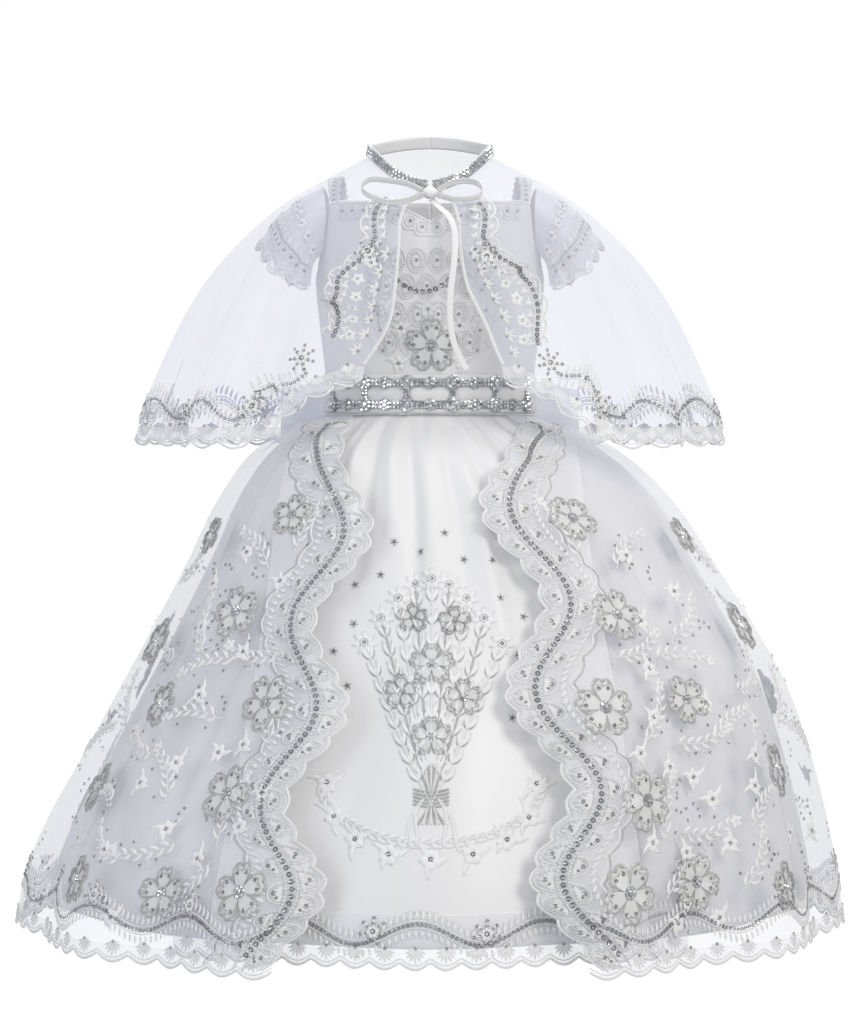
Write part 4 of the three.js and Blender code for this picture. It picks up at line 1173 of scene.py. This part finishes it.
def embroider_stars(kit, spots, size=2.9):
    """Star flowers: seven narrow leaves, a sequin at each tip and one in the middle."""
    ray = math.pi / 2 + np.arange(7) * TURN / 7
    spots.draw(kit["thread"], leaves((0, 0), ray, 10.5, 2.8), 0.9)
    way = np.stack([np.cos(ray), np.sin(ray)], axis=-1)
    spots.set(kit["sequins"], np.concatenate([way * 9.6, way * 5.6]), size * 0.85, SEQUIN, 1.3)
    spots.set(kit["sequins"], [(0, 0)], size * 1.4, SEQUIN, 1.3)


def embroider_posies(kit, spots):
    """Small white five-petalled flowers with a leaf either side."""
    petal = math.pi / 2 + np.arange(5) * TURN / 5
    foot = 1.6 * np.stack([np.cos(petal), np.sin(petal)], axis=-1)
    spots.draw(kit["thread"], leaves(foot, petal, 5.6, 5.6), 1.0)
    spots.draw(kit["thread"], leaves((0, 0), [0.2, 2.5, 4.2], [15, 13, 11], 3.4, 0.4), 0.7)
    spots.set(kit["sequins"], [(0, 0)], 2.9, SEQUIN, 1.2)


def needlework():
    return {name: Work() for name in ("thread", "pale", "silver", "sequins", "stones")}


def finish_needlework(kit, name, both_sides=False):
    """One piece for each kind of stitching; the same again mirrored, where the other side has it too."""
    kinds = {
        "thread": (THREAD, "lace", True), "pale": (PALE_THREAD, "lace", True),
        # The silver stitching is grey silver thread made darker as painted shade.
        "silver": (SILVER_SHADE_THREAD, "lace", True),
        "sequins": (SEQUINS, "stones", False), "stones": (STONES, "stones", False),
    }
    made = []
    for kind, (finish, slot, shade) in kinds.items():
        if kit[kind].count:
            label = f"{name} {kind}"
            made.append(kit[kind].piece(label + " left" if both_sides else label, finish, slot, shade=shade))
            if both_sides:
                made.append(kit[kind].piece(label + " right", finish, slot, shade=shade, mirrored=True))
    return made


def spaced(length, pitch, start=0.5):
    return (np.arange(int(length / pitch)) + start) * pitch


def line(u, w):
    return np.stack(np.broadcast_arrays(u, w), axis=-1)[None].astype(float)


# Skirt embroidery

def embroider_border(kit, name):
    """A waved border: a line of big sequins between cords, looped petals, and a scalloped rim."""
    wave = BORDER_WAVE[name]
    side = wave["side"]
    down = np.linspace(210, 640, 900)
    turn = turn_across(border_across(wave, down), down)
    points = overskirt(turn, down)
    length = np.concatenate([[0], np.cumsum(np.linalg.norm(np.diff(points, axis=0), axis=1))])

    def chart(u, w, lift):
        at = np.interp(u, length, down)
        return raised(overskirt, np.interp(u, length, turn) + w / read(OVERSKIRT, "wide", at), at, lift)

    total = length[-1]
    studs(kit["sequins"], chart, spaced(total - 8, 5.9), 0.0, 4.6, SEQUIN, 1.1, 0.1)
    fine = np.linspace(0, total, 360)
    rope = spaced(total, 3.1)
    for w in (-4.4, 4.4):
        ridges(kit["thread"], chart, line(fine, side * w), 1.0, 0.6)
        foot = line(rope, side * w - 1.3)[0]
        ridges(kit["thread"], chart, *leaves(foot, math.pi / 2 - 0.6, 3.4, 1.9, 0, 3), 1.1)
    peak = np.interp(np.arange(210, 640, 20), down, length)
    arch = np.linspace(0, math.pi, 17)
    for middle, way, wide, high in ((peak, -1, 10, 18), (peak[:-1] + np.diff(peak) / 2, 1, 9, 13)):
        for scale, stroke in ((0.94, 1.6), (0.76, 0.8)):
            path = np.stack(np.broadcast_arrays(
                middle[:, None] + scale * wide * np.cos(arch), way * side * (6 + scale * high * np.sin(arch))
            ), axis=-1)
            ridges(kit["thread"], chart, path, stroke, 1.1)
        for angle in np.linspace(-1.05, 1.05, 7):
            reach = high * (0.74 - 0.18 * abs(angle))
            foot = line(middle + 2.2 * angle * side * way, way * side * 6.5)[0]
            ridges(kit["thread"], chart, *leaves(foot, way * side * math.pi / 2 - angle, reach, 2.3), 0.9)
        studs(kit["sequins"], chart, middle, way * side * 13.5, 3.2, SEQUIN, 1.5, 0.1)
        studs(kit["sequins"], chart, middle + 3.4, way * side * 10.5, 2.4, SEQUIN, 1.5, 0.1)
    edge = border_width(down)
    for inset, wide in ((1.1, 2.2), (3.9, 0.9)):
        ridges(kit["thread"], chart, line(length, -side * (edge - inset))[:, ::2], wide, 1.0)
    lean = spaced(total, 6.4)
    foot = line(lean, side * 20.0)[0]
    ridges(kit["thread"], chart, *leaves(foot, side * (math.pi / 2 + 0.7), 9.5, 3.0, 0.4), 1.0)
    outer = 27.5 + 5 * np.abs(np.sin(math.pi * length / 24))
    ridges(kit["thread"], chart, line(length, side * outer)[:, ::2], 1.7, 0.9)
    # A line of silver thread beyond the scalloped rim, darkened as painted shade.
    ridges(kit["silver"], chart, line(length, side * (outer + 3.2))[:, ::2], 0.8, 0.5)


def embroider_hem(kit, chart, total, pitch, wave_length, height, drop, skip=0.0):
    """A waved line of small sequins over fans that fill each scallop of the rim."""

    def swing(u):
        return 8.5 * np.cos(TURN * u / wave_length) + height

    at = skip + spaced(total - 2 * skip, 3.6)
    studs(kit["sequins"], chart, at, swing(at), 3.1, SEQUIN, 1.0, 0.14)
    fine = np.linspace(0, total, int(total / 3))
    inner = fine[(fine >= skip) & (fine <= total - skip)]
    for w in (-2.9, 2.9):
        ridges(kit["thread"], chart, line(inner, swing(inner) + w), 1.0, 0.6)
    rim = drop * (0.62 + 0.38 * np.abs(np.sin(math.pi * fine / pitch)))
    ridges(kit["thread"], chart, line(fine, 1.2 - rim), 2.2, 0.9)
    ridges(kit["thread"], chart, line(fine, 4.4 - rim), 1.0, 0.5)
    middle = spaced(total + 1, pitch)
    for angle in np.linspace(-1.15, 1.15, 7):
        reach = 11.5 - 2.5 * abs(angle)
        ridges(kit["thread"], chart, *leaves(line(middle, 1.5)[0], -math.pi / 2 + angle, reach, 2.8), 0.7)
    studs(kit["sequins"], chart, middle, 1.5, 2.5, SEQUIN, 1.2, 0.1)
    leaf = skip + spaced(total - 2 * skip, 5.2)
    ridges(kit["thread"], chart, *leaves(line(leaf, swing(leaf) + 4.5)[0], 1.1, 7.5, 2.8, 0.5), 0.7)
    ridges(kit["thread"], chart, *leaves(line(leaf, swing(leaf) - 4.5)[0], -1.0, 6.5, 2.6, -0.4), 0.7)
    return swing


# Places of the big flowers: the angle in degrees from the front, the height down, and the size.
FLOWERS = table(
    "turn down size",
    (-39.5, 286, 0.85), (-47, 366, 1.0), (-33, 436, 1.08), (-35, 509, 1.08), (-26.5, 581, 1.05),
    (30.5, 288, 0.95), (32.5, 366, 1.0), (24.5, 438, 1.08), (30.5, 512, 1.08), (26.5, 582, 1.1),
    (-57, 444, 0.9), (-41, 590, 0.95), (42.5, 436, 0.9), (39.5, 580, 1.0), (-76, 398, 0.95),
    (-70, 520, 1.0), (62, 500, 1.0), (74, 384, 0.95), (-108, 560, 1.0), (-104, 440, 0.9), (107, 566, 1.0),
    (101, 452, 0.95), (124, 372, 0.9), (128, 530, 1.05), (-131, 376, 0.9), (-127, 520, 1.0), (152, 460, 1.0),
    (158, 578, 1.0), (-155, 452, 1.0), (-160, 580, 1.05), (178, 380, 0.9), (180, 524, 1.0), (56, 592, 0.9),
    (-58, 588, 0.9), (-71, 306, 0.75), (68, 306, 0.75), (-118, 296, 0.75), (136, 290, 0.75),
)
# Sprays: where the stem starts, the way it grows in degrees from the right, and the side it bends to.
SPRAYS = table(
    "turn down way bend",
    (-36, 316, 60, 1), (-42, 330, 150, -1), (-33, 398, 170, 1), (-43, 404, 200, -1), (-51, 402, 110, 1),
    (-42, 452, 185, -1), (-52, 482, 160, 1), (-29, 470, 100, 1), (-41, 548, 190, 1), (-46, 520, 130, -1),
    (-33, 548, 80, 1), (-57, 528, 175, -1), (-60, 404, 165, 1), (-49, 566, 150, 1), (-33, 560, 215, 1),
    (28, 322, 110, -1), (37, 330, 30, 1), (29, 400, 25, -1), (38, 402, -10, 1), (31, 468, 60, -1),
    (38, 470, 15, -1), (46, 470, 20, 1), (37, 540, 10, -1), (34, 548, 70, 1), (50, 540, 25, 1),
    (44, 386, 40, -1), (54, 430, 15, -1), (33, 590, 20, 1), (47, 590, 60, -1), (64, 440, 50, 1),
    (-72, 470, 120, 1), (-80, 350, 60, -1), (-86, 500, 30, 1), (-92, 420, 140, -1), (-110, 540, 60, 1),
    (-112, 400, 100, 1), (-120, 450, 150, -1), (-140, 480, 40, -1), (-144, 410, 120, 1), (-146, 560, 90, 1),
    (-166, 500, 60, -1), (-170, 430, 120, 1), (-174, 570, 150, -1), (72, 470, 60, -1), (80, 340, 120, 1),
    (86, 500, 150, -1), (96, 400, 40, 1), (110, 520, 120, -1), (112, 420, 80, -1), (120, 470, 30, 1),
    (140, 500, 140, 1), (142, 400, 60, -1), (148, 560, 90, -1), (166, 520, 120, 1), (170, 440, 60, -1),
)
# Small posies: the angle, the height down and the spin in degrees
POSIES = table(
    "turn down spin",
    (-55, 380, 10), (-48, 434, 60), (-40, 478, -20), (-47, 488, 40), (-53, 560, 0), (-30, 532, 90),
    (-64, 470, 30), (-66, 560, -40), (38, 372, 20), (34, 448, -30), (46, 440, 40), (41, 498, 0),
    (54, 484, 30), (46, 552, 60), (62, 552, -20), (35, 610, 0), (-48, 612, 20), (-92, 470, 0),
    (-112, 500, 30), (-140, 440, 60), (-150, 520, 0), (-168, 470, 30), (92, 520, 0), (112, 480, 30),
    (138, 450, 60), (150, 520, 0), (168, 480, 30), (-78, 588, 0), (76, 560, 40), (108, 590, 10),
    (-112, 590, 50), (140, 600, 0), (-50, 318, 30), (-58, 345, 80), (-38, 340, 10), (-42, 398, 55),
    (-35, 470, 75), (-44, 540, 15), (-36, 560, 60), (-52, 506, 85), (-28, 505, 20), (41, 320, 40),
    (50, 350, 5), (36, 410, 70), (30, 475, 25), (36, 488, 60), (44, 516, 15), (38, 556, 80),
    (52, 508, 35), (57, 458, 70), (43, 610, 20), (31, 545, 50),
)


def places_of(rows):
    return np.stack([np.radians(rows["turn"]), rows["down"]], axis=-1)


def embroider_overskirt():
    kit = needlework()
    for name in ("left", "right"):
        embroider_border(kit, name)
    made = finish_needlework(kit, "Border embroidery")

    kit = needlework()
    start = HEM_SEAM - 2 * (math.pi - HEM_SEAM) / HEM_SCALLOPS
    turn = np.linspace(start, TURN - start, 2600)
    chart = along(overskirt, turn, np.full(2600, float(OVERSKIRT_HEM)))
    total = chart.length
    swing = embroider_hem(kit, chart, total, total / (2 * HEM_SCALLOPS + 4), 105, 20, SCALLOP_DEPTH)
    for n in range(int(total / 105)):
        u = (n + 1) * 105 - 1.0
        share = np.interp(u, np.linspace(0, total, 2600), turn)
        embroider_stars(kit, Spots(overskirt, [(share, OVERSKIRT_HEM - float(swing(u)) - 8)], 1.15))
    made += finish_needlework(kit, "Overskirt hem embroidery")

    kit = needlework()
    embroider_flowers(kit, Spots(overskirt, places_of(FLOWERS), 1.27 * FLOWERS["size"], 0.35 * np.arange(38)))
    for bend in (1, -1):
        rows = {key: column[SPRAYS["bend"] == bend] for key, column in SPRAYS.items()}
        embroider_sprays(kit, Spots(overskirt, places_of(rows), 1.0, np.radians(rows["way"])), bend)
    embroider_posies(kit, Spots(overskirt, places_of(POSIES), 1.1, np.radians(POSIES["spin"])))
    turn = dice.uniform(0.62, TURN - 0.62, 170)
    loose = np.stack([turn, 632 - 330 * dice.uniform(0.03, 1, 170) ** 1.2], axis=-1)
    pair = Spots(overskirt, loose, 1.0, dice.uniform(0, TURN, 170))
    pair.set(kit["sequins"], [(0, 0), (6.5, 1.5), (12, -1)], 2.8, SEQUIN)
    return made + finish_needlework(kit, "Overskirt embroidery")


def on_satin(turn, down):
    return raised(satin, turn, down, 1.8)


def embroider_front():
    """The front hem's lace, and on the satin above it a tall bouquet among small star sequins."""
    kit = needlework()
    reach = math.radians(37.6)
    turn = np.linspace(-reach, reach, 700)
    chart = along(on_satin, turn, np.full(700, 624.0))
    embroider_hem(kit, chart, chart.length, chart.length / 18, 104, 12, 16)
    for degrees, down in ((-8, 610), (7.5, 612), (23, 611), (-24, 611)):
        embroider_stars(kit, Spots(on_satin, [(math.radians(degrees), down)], 1.1))
    made = finish_needlework(kit, "Skirt hem embroidery")

    kit = needlework()
    embroider_bouquet(kit)
    return made + finish_needlework(kit, "Bouquet embroidery")


def front_satin(x, down):
    """The satin skirt by its place across the front view, in millimetres."""
    return satin(turn_across(x, down), down)


BOUQUET_MIDDLE = 440.0


def embroider_bouquet(kit):
    """A sheaf of stems, leaves and flowers in white and in silver darkened as painted shade, over a garland.
    """
    middle = Spots(front_satin, [(0.0, BOUQUET_MIDDLE)])
    for n, lean in enumerate(np.linspace(-1, 1, 9)):
        t = np.linspace(0, 1, 22)
        top = 116 - 58 * abs(lean) ** 1.7
        x = 58 * lean * np.clip((t - 0.12) / 0.88, 0, 1) ** 0.9 - 13 * lean * np.clip(1 - t / 0.12, 0, 1)
        path = np.stack([x, -98 + (top + 98) * t], axis=-1)
        middle.draw(kit["silver" if n % 2 else "thread"], (path[None], np.full((1, 22), 1.6)), 0.8)
        at = path[5:20:2]
        way = np.arctan2(*(np.gradient(path, axis=0)[5:20:2].T[::-1]))
        for side in (1, -1):
            middle.draw(kit["thread"], leaves(at, way + side * 0.62, 15, 4.6, -side * 0.35, 7), 1.0)
            middle.draw(kit["silver"], leaves(at, way + side * 1.0, 9, 2.4, -side * 0.4), 0.6)
        tip = path[-1]
        petal = math.pi / 2 + np.arange(7) * TURN / 7
        middle.draw(kit["thread"], leaves(tip, petal, 10.5, 6.0), 1.1)
        middle.draw(kit["silver"], oval(tip, 7, 7, 0, 1.3), 1.4)
        middle.set(kit["sequins"], [tip], 3.2, SEQUIN, 1.8)
    for x, y, size in (
        (0, 36, 1.05), (-27, 14, 0.9), (27, 10, 0.9), (0, -20, 0.95), (-17, 72, 0.75), (20, 70, 0.75)
    ):
        spot = Spots(front_satin, [(x, BOUQUET_MIDDLE - y)], size)
        embroider_flowers(kit, spot, beads=False)
    knot = np.linspace(-1, 1, 9)
    for n in range(5):
        band = np.stack([14 * knot, -70 - 3.2 * n + 2.5 * knot**2], axis=-1)
        middle.draw(kit["silver"], (band[None], np.full((1, 9), 2.2)), 1.0)
    for side in (1, -1):
        for fall, lean in ((46, 20), (40, 9)):
            t = np.linspace(0, 1, 16)
            path = np.stack([side * (6 + lean * t + 3 * np.sin(5 * t)), -76 - fall * t], axis=-1)
            middle.draw(kit["thread"], (path[None], np.full((1, 16), 2.6)), 0.9)
    t = np.linspace(0, math.pi, 33)
    garland = np.stack([92 * np.cos(t + math.pi), -58 - 56 * np.sin(t) ** 0.8], axis=-1)
    middle.draw(kit["thread"], (garland[None], np.full((1, 33), 1.2)), 0.7)
    way = np.arctan2(*(np.gradient(garland, axis=0).T[::-1]))
    for side in (1, -1):
        middle.draw(kit["thread"], leaves(garland[1:-1], way[1:-1] + side * 0.9, 10, 3.8, -side * 0.5), 0.8)
    for n in range(0, 33, 4):
        spot = Spots(front_satin, [(garland[n, 0], BOUQUET_MIDDLE - garland[n, 1])], 1.25, 0.5 * n)
        embroider_posies(kit, spot)
    for n in range(15):
        angle = math.pi * (n - 1.5) / 12
        radius = 1 + 0.16 * (n % 2)
        x, y = 76 * radius * math.cos(angle), 30 + 96 * radius * math.sin(angle)
        spot = Spots(front_satin, [(x, BOUQUET_MIDDLE - y)], 0.42, 0.4 * n)
        spot.draw(kit["silver"], leaves((0, 0), np.arange(5) * TURN / 5, 9, 4), 0.8)
        spot.set(kit["sequins"], [(0, 0)], 6.5, SEQUIN, 1.2)


# Bodice, strap and sleeve embroidery

def embroider_bodice():
    kit = needlework()
    around = np.arange(18) * TURN / 18
    ring = np.stack([4.3 * np.cos(around), 6.6 * np.sin(around)], axis=-1)
    for row, down in enumerate((70, 92, 116, 140)):
        chart = along(torso, np.radians(np.linspace(-27, 27, 200)), np.full(200, float(down)))
        middle = spaced(chart.length, 17.5, 0.5 * (row % 2))
        for u in middle:
            for wide, high, width in ((16, 22, 1.3), (8, 12, 1.0)):
                ridges(kit["thread"], chart, *oval((u, 0), wide, high, 0, width), 0.8)
            ridges(kit["thread"], chart, *leaves(ring + (u, 0), around, 3.0, 1.2), 0.6)
        studs(kit["sequins"], chart, middle, 0.0, 2.8, SEQUIN, 1.2, 0.1)
    turn = np.radians(np.linspace(-56, 56, 400))
    top = np.interp(np.abs(np.degrees(turn)), BODICE_TOP["turn"], BODICE_TOP["down"])
    chart = along(torso, turn, top + 6)
    middle = spaced(chart.length, 11.5)
    fine = np.linspace(0, chart.length, 300)
    ridges(kit["thread"], chart, line(fine, 4.4), 1.6, 0.8)
    ridges(kit["thread"], chart, line(fine, -7 - 3.5 * np.abs(np.sin(math.pi * fine / 11.5))), 1.5, 0.8)
    for u in middle:
        ridges(kit["thread"], chart, *oval((u, -2.5), 8.5, 9.5, 0, 1.2), 0.7)
    studs(kit["sequins"], chart, middle, -2.5, 2.7, SEQUIN, 1.2, 0.1)
    for side in (1, -1):
        down = np.linspace(150, 50, 200)
        chart = along(torso, np.radians(side * (27 + 2.2 * np.cos(down / 9))), down)
        fine = np.linspace(0, chart.length, 160)
        for w in (-2.6, 2.6):
            ridges(kit["thread"], chart, line(fine, w), 1.3, 0.8)
        rim = 7 + 4 * np.abs(np.sin(math.pi * fine / 12))
        ridges(kit["thread"], chart, line(fine, -side * rim), 1.8, 0.8)
        at = spaced(chart.length, 6)
        studs(kit["sequins"], chart, at[::3], 0.0, 2.4, SEQUIN, 1.0, 0.1)
        foot = line(at, side * 3.5)[0]
        ridges(kit["thread"], chart, *leaves(foot, side * (math.pi / 2 - 0.6), 9, 3.2), 0.7)
    share = np.linspace(-1, 1, 9)
    places = np.stack([np.radians(-3.5 + 12.5 * share), 97 - 10 * share**2], axis=-1)
    Spots(torso, places).set(kit["sequins"], [(0, 0)], 4.3, SEQUIN, 1.1)
    flower = Spots(torso, [(math.asin(1.3 / 95), 143.0)], 1.25)
    embroider_flowers(kit, flower)
    for degrees, down in ((-15, 128), (15, 126), (-17, 158), (17, 157), (-1, 112)):
        embroider_posies(kit, Spots(torso, [(math.radians(degrees), down)], 0.95))
    made = finish_needlework(kit, "Bodice embroidery")
    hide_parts("bodice_flower")
    return made


def embroider_sleeves():
    kit = needlework()
    share = np.linspace(0.03, 0.97, 500)
    rim = 0.90 + 0.10 * np.abs(np.sin(math.pi * 10 * share))
    chart = along(sleeve_lace, share, rim)
    fine = np.linspace(0, chart.length, 260)
    ridges(kit["thread"], chart, line(fine, 1.2), 2.4, 0.8)
    ridges(kit["thread"], chart, line(fine, 4.6), 1.0, 0.6)
    chart = along(sleeve_lace, share, np.full(500, 0.66))
    at = spaced(chart.length, 8.5)
    for u in at:
        ridges(kit["thread"], chart, *oval((u, -3.5), 6.5, 9, 0, 1.2), 0.7)
    ridges(kit["thread"], chart, *leaves(line(at, 3.0)[0], math.pi / 2 - 0.5, 9, 3.4, 0.4), 0.7)
    # A line of silver thread, darkened as painted shade.
    ridges(kit["silver"], chart, line(np.linspace(0, chart.length, 160), 2.2), 1.2, 0.6)
    studs(kit["sequins"], chart, at, -3.5, 2.6, SEQUIN, 1.1, 0.1)
    chart = along(sleeve_lace, share, np.full(500, 0.34))
    at = spaced(chart.length, 13)
    for angle in np.arange(5) * TURN / 5:
        ridges(kit["thread"], chart, *leaves(line(at, 0.0)[0], angle, 6, 3.8), 0.7)
    studs(kit["sequins"], chart, at, 0.0, 2.6, SEQUIN, 1.1, 0.1)
    at = np.linspace(0.03, 0.97, 26)
    for row, way in ((0.3, 2.2), (0.7, 0.9)):
        spots = Spots(strap, np.stack([at, np.full(26, row)], axis=-1))
        spots.draw(kit["thread"], leaves((0, 0), [way, way + math.pi], 4.5, 2.2), 0.6)
    spots = Spots(strap, np.stack([at[::2], np.full(13, 0.5)], axis=-1), 1.0)
    spots.set(kit["sequins"], [(0, 0)], 2.6, SEQUIN)
    return finish_needlework(kit, "Sleeve embroidery", both_sides=True)


# Cape and neck band

# How far the cape's sequins run from its front edge, at shares of the way down it
CAPE_BAND = table(
    "share out", (0, 21), (0.22, 23), (0.38, 33), (0.5, 52), (0.66, 55), (0.82, 46), (1, 38)
)


def embroider_cape():
    """The cape's lace band along its front edges and hem, and the satin binding of the edges."""
    kit = needlework()
    binding = Work()
    share = np.linspace(0.02, 1, 300)
    for side in (1, -1):
        edge = np.full(300, 0.0 if side > 0 else 1.0)
        chart = along(cape, *cape_place(edge, share))
        total = chart.length
        fine = np.linspace(0, total, 170)
        ridges(binding, chart, line(fine, side * 1.2), 3.0, 1.1, base=0.2)
        start = total * 0.16
        fine = np.linspace(start, total, 220)
        reach = (fine - start) / (total - start)
        sway = np.interp(reach, CAPE_BAND["share"], CAPE_BAND["out"]) + 2.5 * np.sin(TURN * reach * 3)
        at = spaced(total - start, 4.6) + start
        studs(kit["sequins"], chart, at, side * np.interp(at, fine, sway), 4.0, SEQUIN, 1.0, 0.14)
        for w in (-3.2, 3.2):
            ridges(kit["thread"], chart, line(fine, side * (sway + w)), 1.1, 0.8)
        rim = sway + 7 + 4.5 * np.abs(np.sin(math.pi * (fine - start) / 16))
        ridges(kit["thread"], chart, line(fine, side * rim), 2.0, 0.9)
        at = spaced(total - start, 8) + start
        middle = np.interp(at, fine, sway)
        for w, way, long in ((4, 0.6, 7), (-4, math.pi - 0.6, 9), (-10, 0.5, 8)):
            foot = np.stack([at, side * (middle + w)], axis=-1)
            ridges(kit["thread"], chart, *leaves(foot, side * (math.pi / 2 + way), long, 3.0, 0.4), 0.9)
        wide = middle > 30
        fan, star = np.array([0.4, 1.2, 2.0, 2.9]), np.arange(5) * TURN / 5
        for kind, share_in, spread, long, wide_leaf in ((0, 0.32, fan, 9, 2.8), (1, 0.66, star, 6.5, 4.8)):
            u = at[wide][kind::2]
            inside = middle[wide][kind::2] * share_in
            foot = np.stack([u, side * inside], axis=-1)
            for petal in spread:
                ridges(kit["thread"], chart, *leaves(foot, side * petal, long, wide_leaf), 0.9)
            studs(kit["sequins"], chart, u, side * inside, 2.7, SEQUIN, 1.2, 0.1)
    stars = [
        (-19, 4.17), (-29, 7.0), (17, 4.31), (27, 7.1), (-40, 8.3), (38, 8.3), (-62, 8.6), (60, 8.6),
        (85, 8.6), (-88, 8.6), (112, 8.6), (-115, 8.6), (140, 8.6), (-143, 8.6), (167, 8.6), (-170, 8.6),
    ]
    places = [(math.radians(turn), step) for turn, step in stars]
    embroider_stars(kit, Spots(cape, places, 1.15))
    round_it = np.linspace(0, 1, 2400)
    chart = along(cape, *cape_place(round_it, 1.0))
    embroider_hem(kit, chart, chart.length, chart.length / 42, 74, 15, 19, skip=48)
    return [binding.piece("Cape binding", SATIN, "satin"), *finish_needlework(kit, "Cape embroidery")]


def collar_down(turn, down):
    return collar_at(turn, 11 - down)


def embroider_collar():
    stones = Work()
    turn = np.linspace(math.radians(3.6), TURN - math.radians(3.6), 98)

    def chart(u, w, lift):
        return raised(collar_down, u, 11 - w, lift)

    for row in (2.1, 5.4, 8.7):
        studs(stones, chart, turn, row, 3.3, STONE, 0.35, 0.05)
    return stones.piece("Neck band stones", STONES, "stones", shade=False)


bodice_front, bodice_back_left, bodice_back_right = make_bodice()
straps = [make_strap(side) for side in (1, -1)]
sleeves = [make_sleeve(side) for side in (1, -1)]
skirt_front, skirt_back_left, skirt_back_right = make_satin_skirt()
front_hem = make_front_hem()
overskirts = [make_overskirt(side) for side in (1, -1)]
overskirt_hems = [make_overskirt_hem(side) for side in (1, -1)]
borders = [make_border(side) for side in (1, -1)]
cape_cloth = make_cape()
cape_hems = [make_cape_hem(side) for side in (1, -1)]
collars = [make_collar(side) for side in (1, -1)]
belt_band = make_belt()
make_trim()
sash = make_sash()
front_stitches = embroider_front()
overskirt_stitches = embroider_overskirt()
bodice_stitches = embroider_bodice()
sleeve_stitches = embroider_sleeves()
cape_stitches = embroider_cape()
embroider_collar()
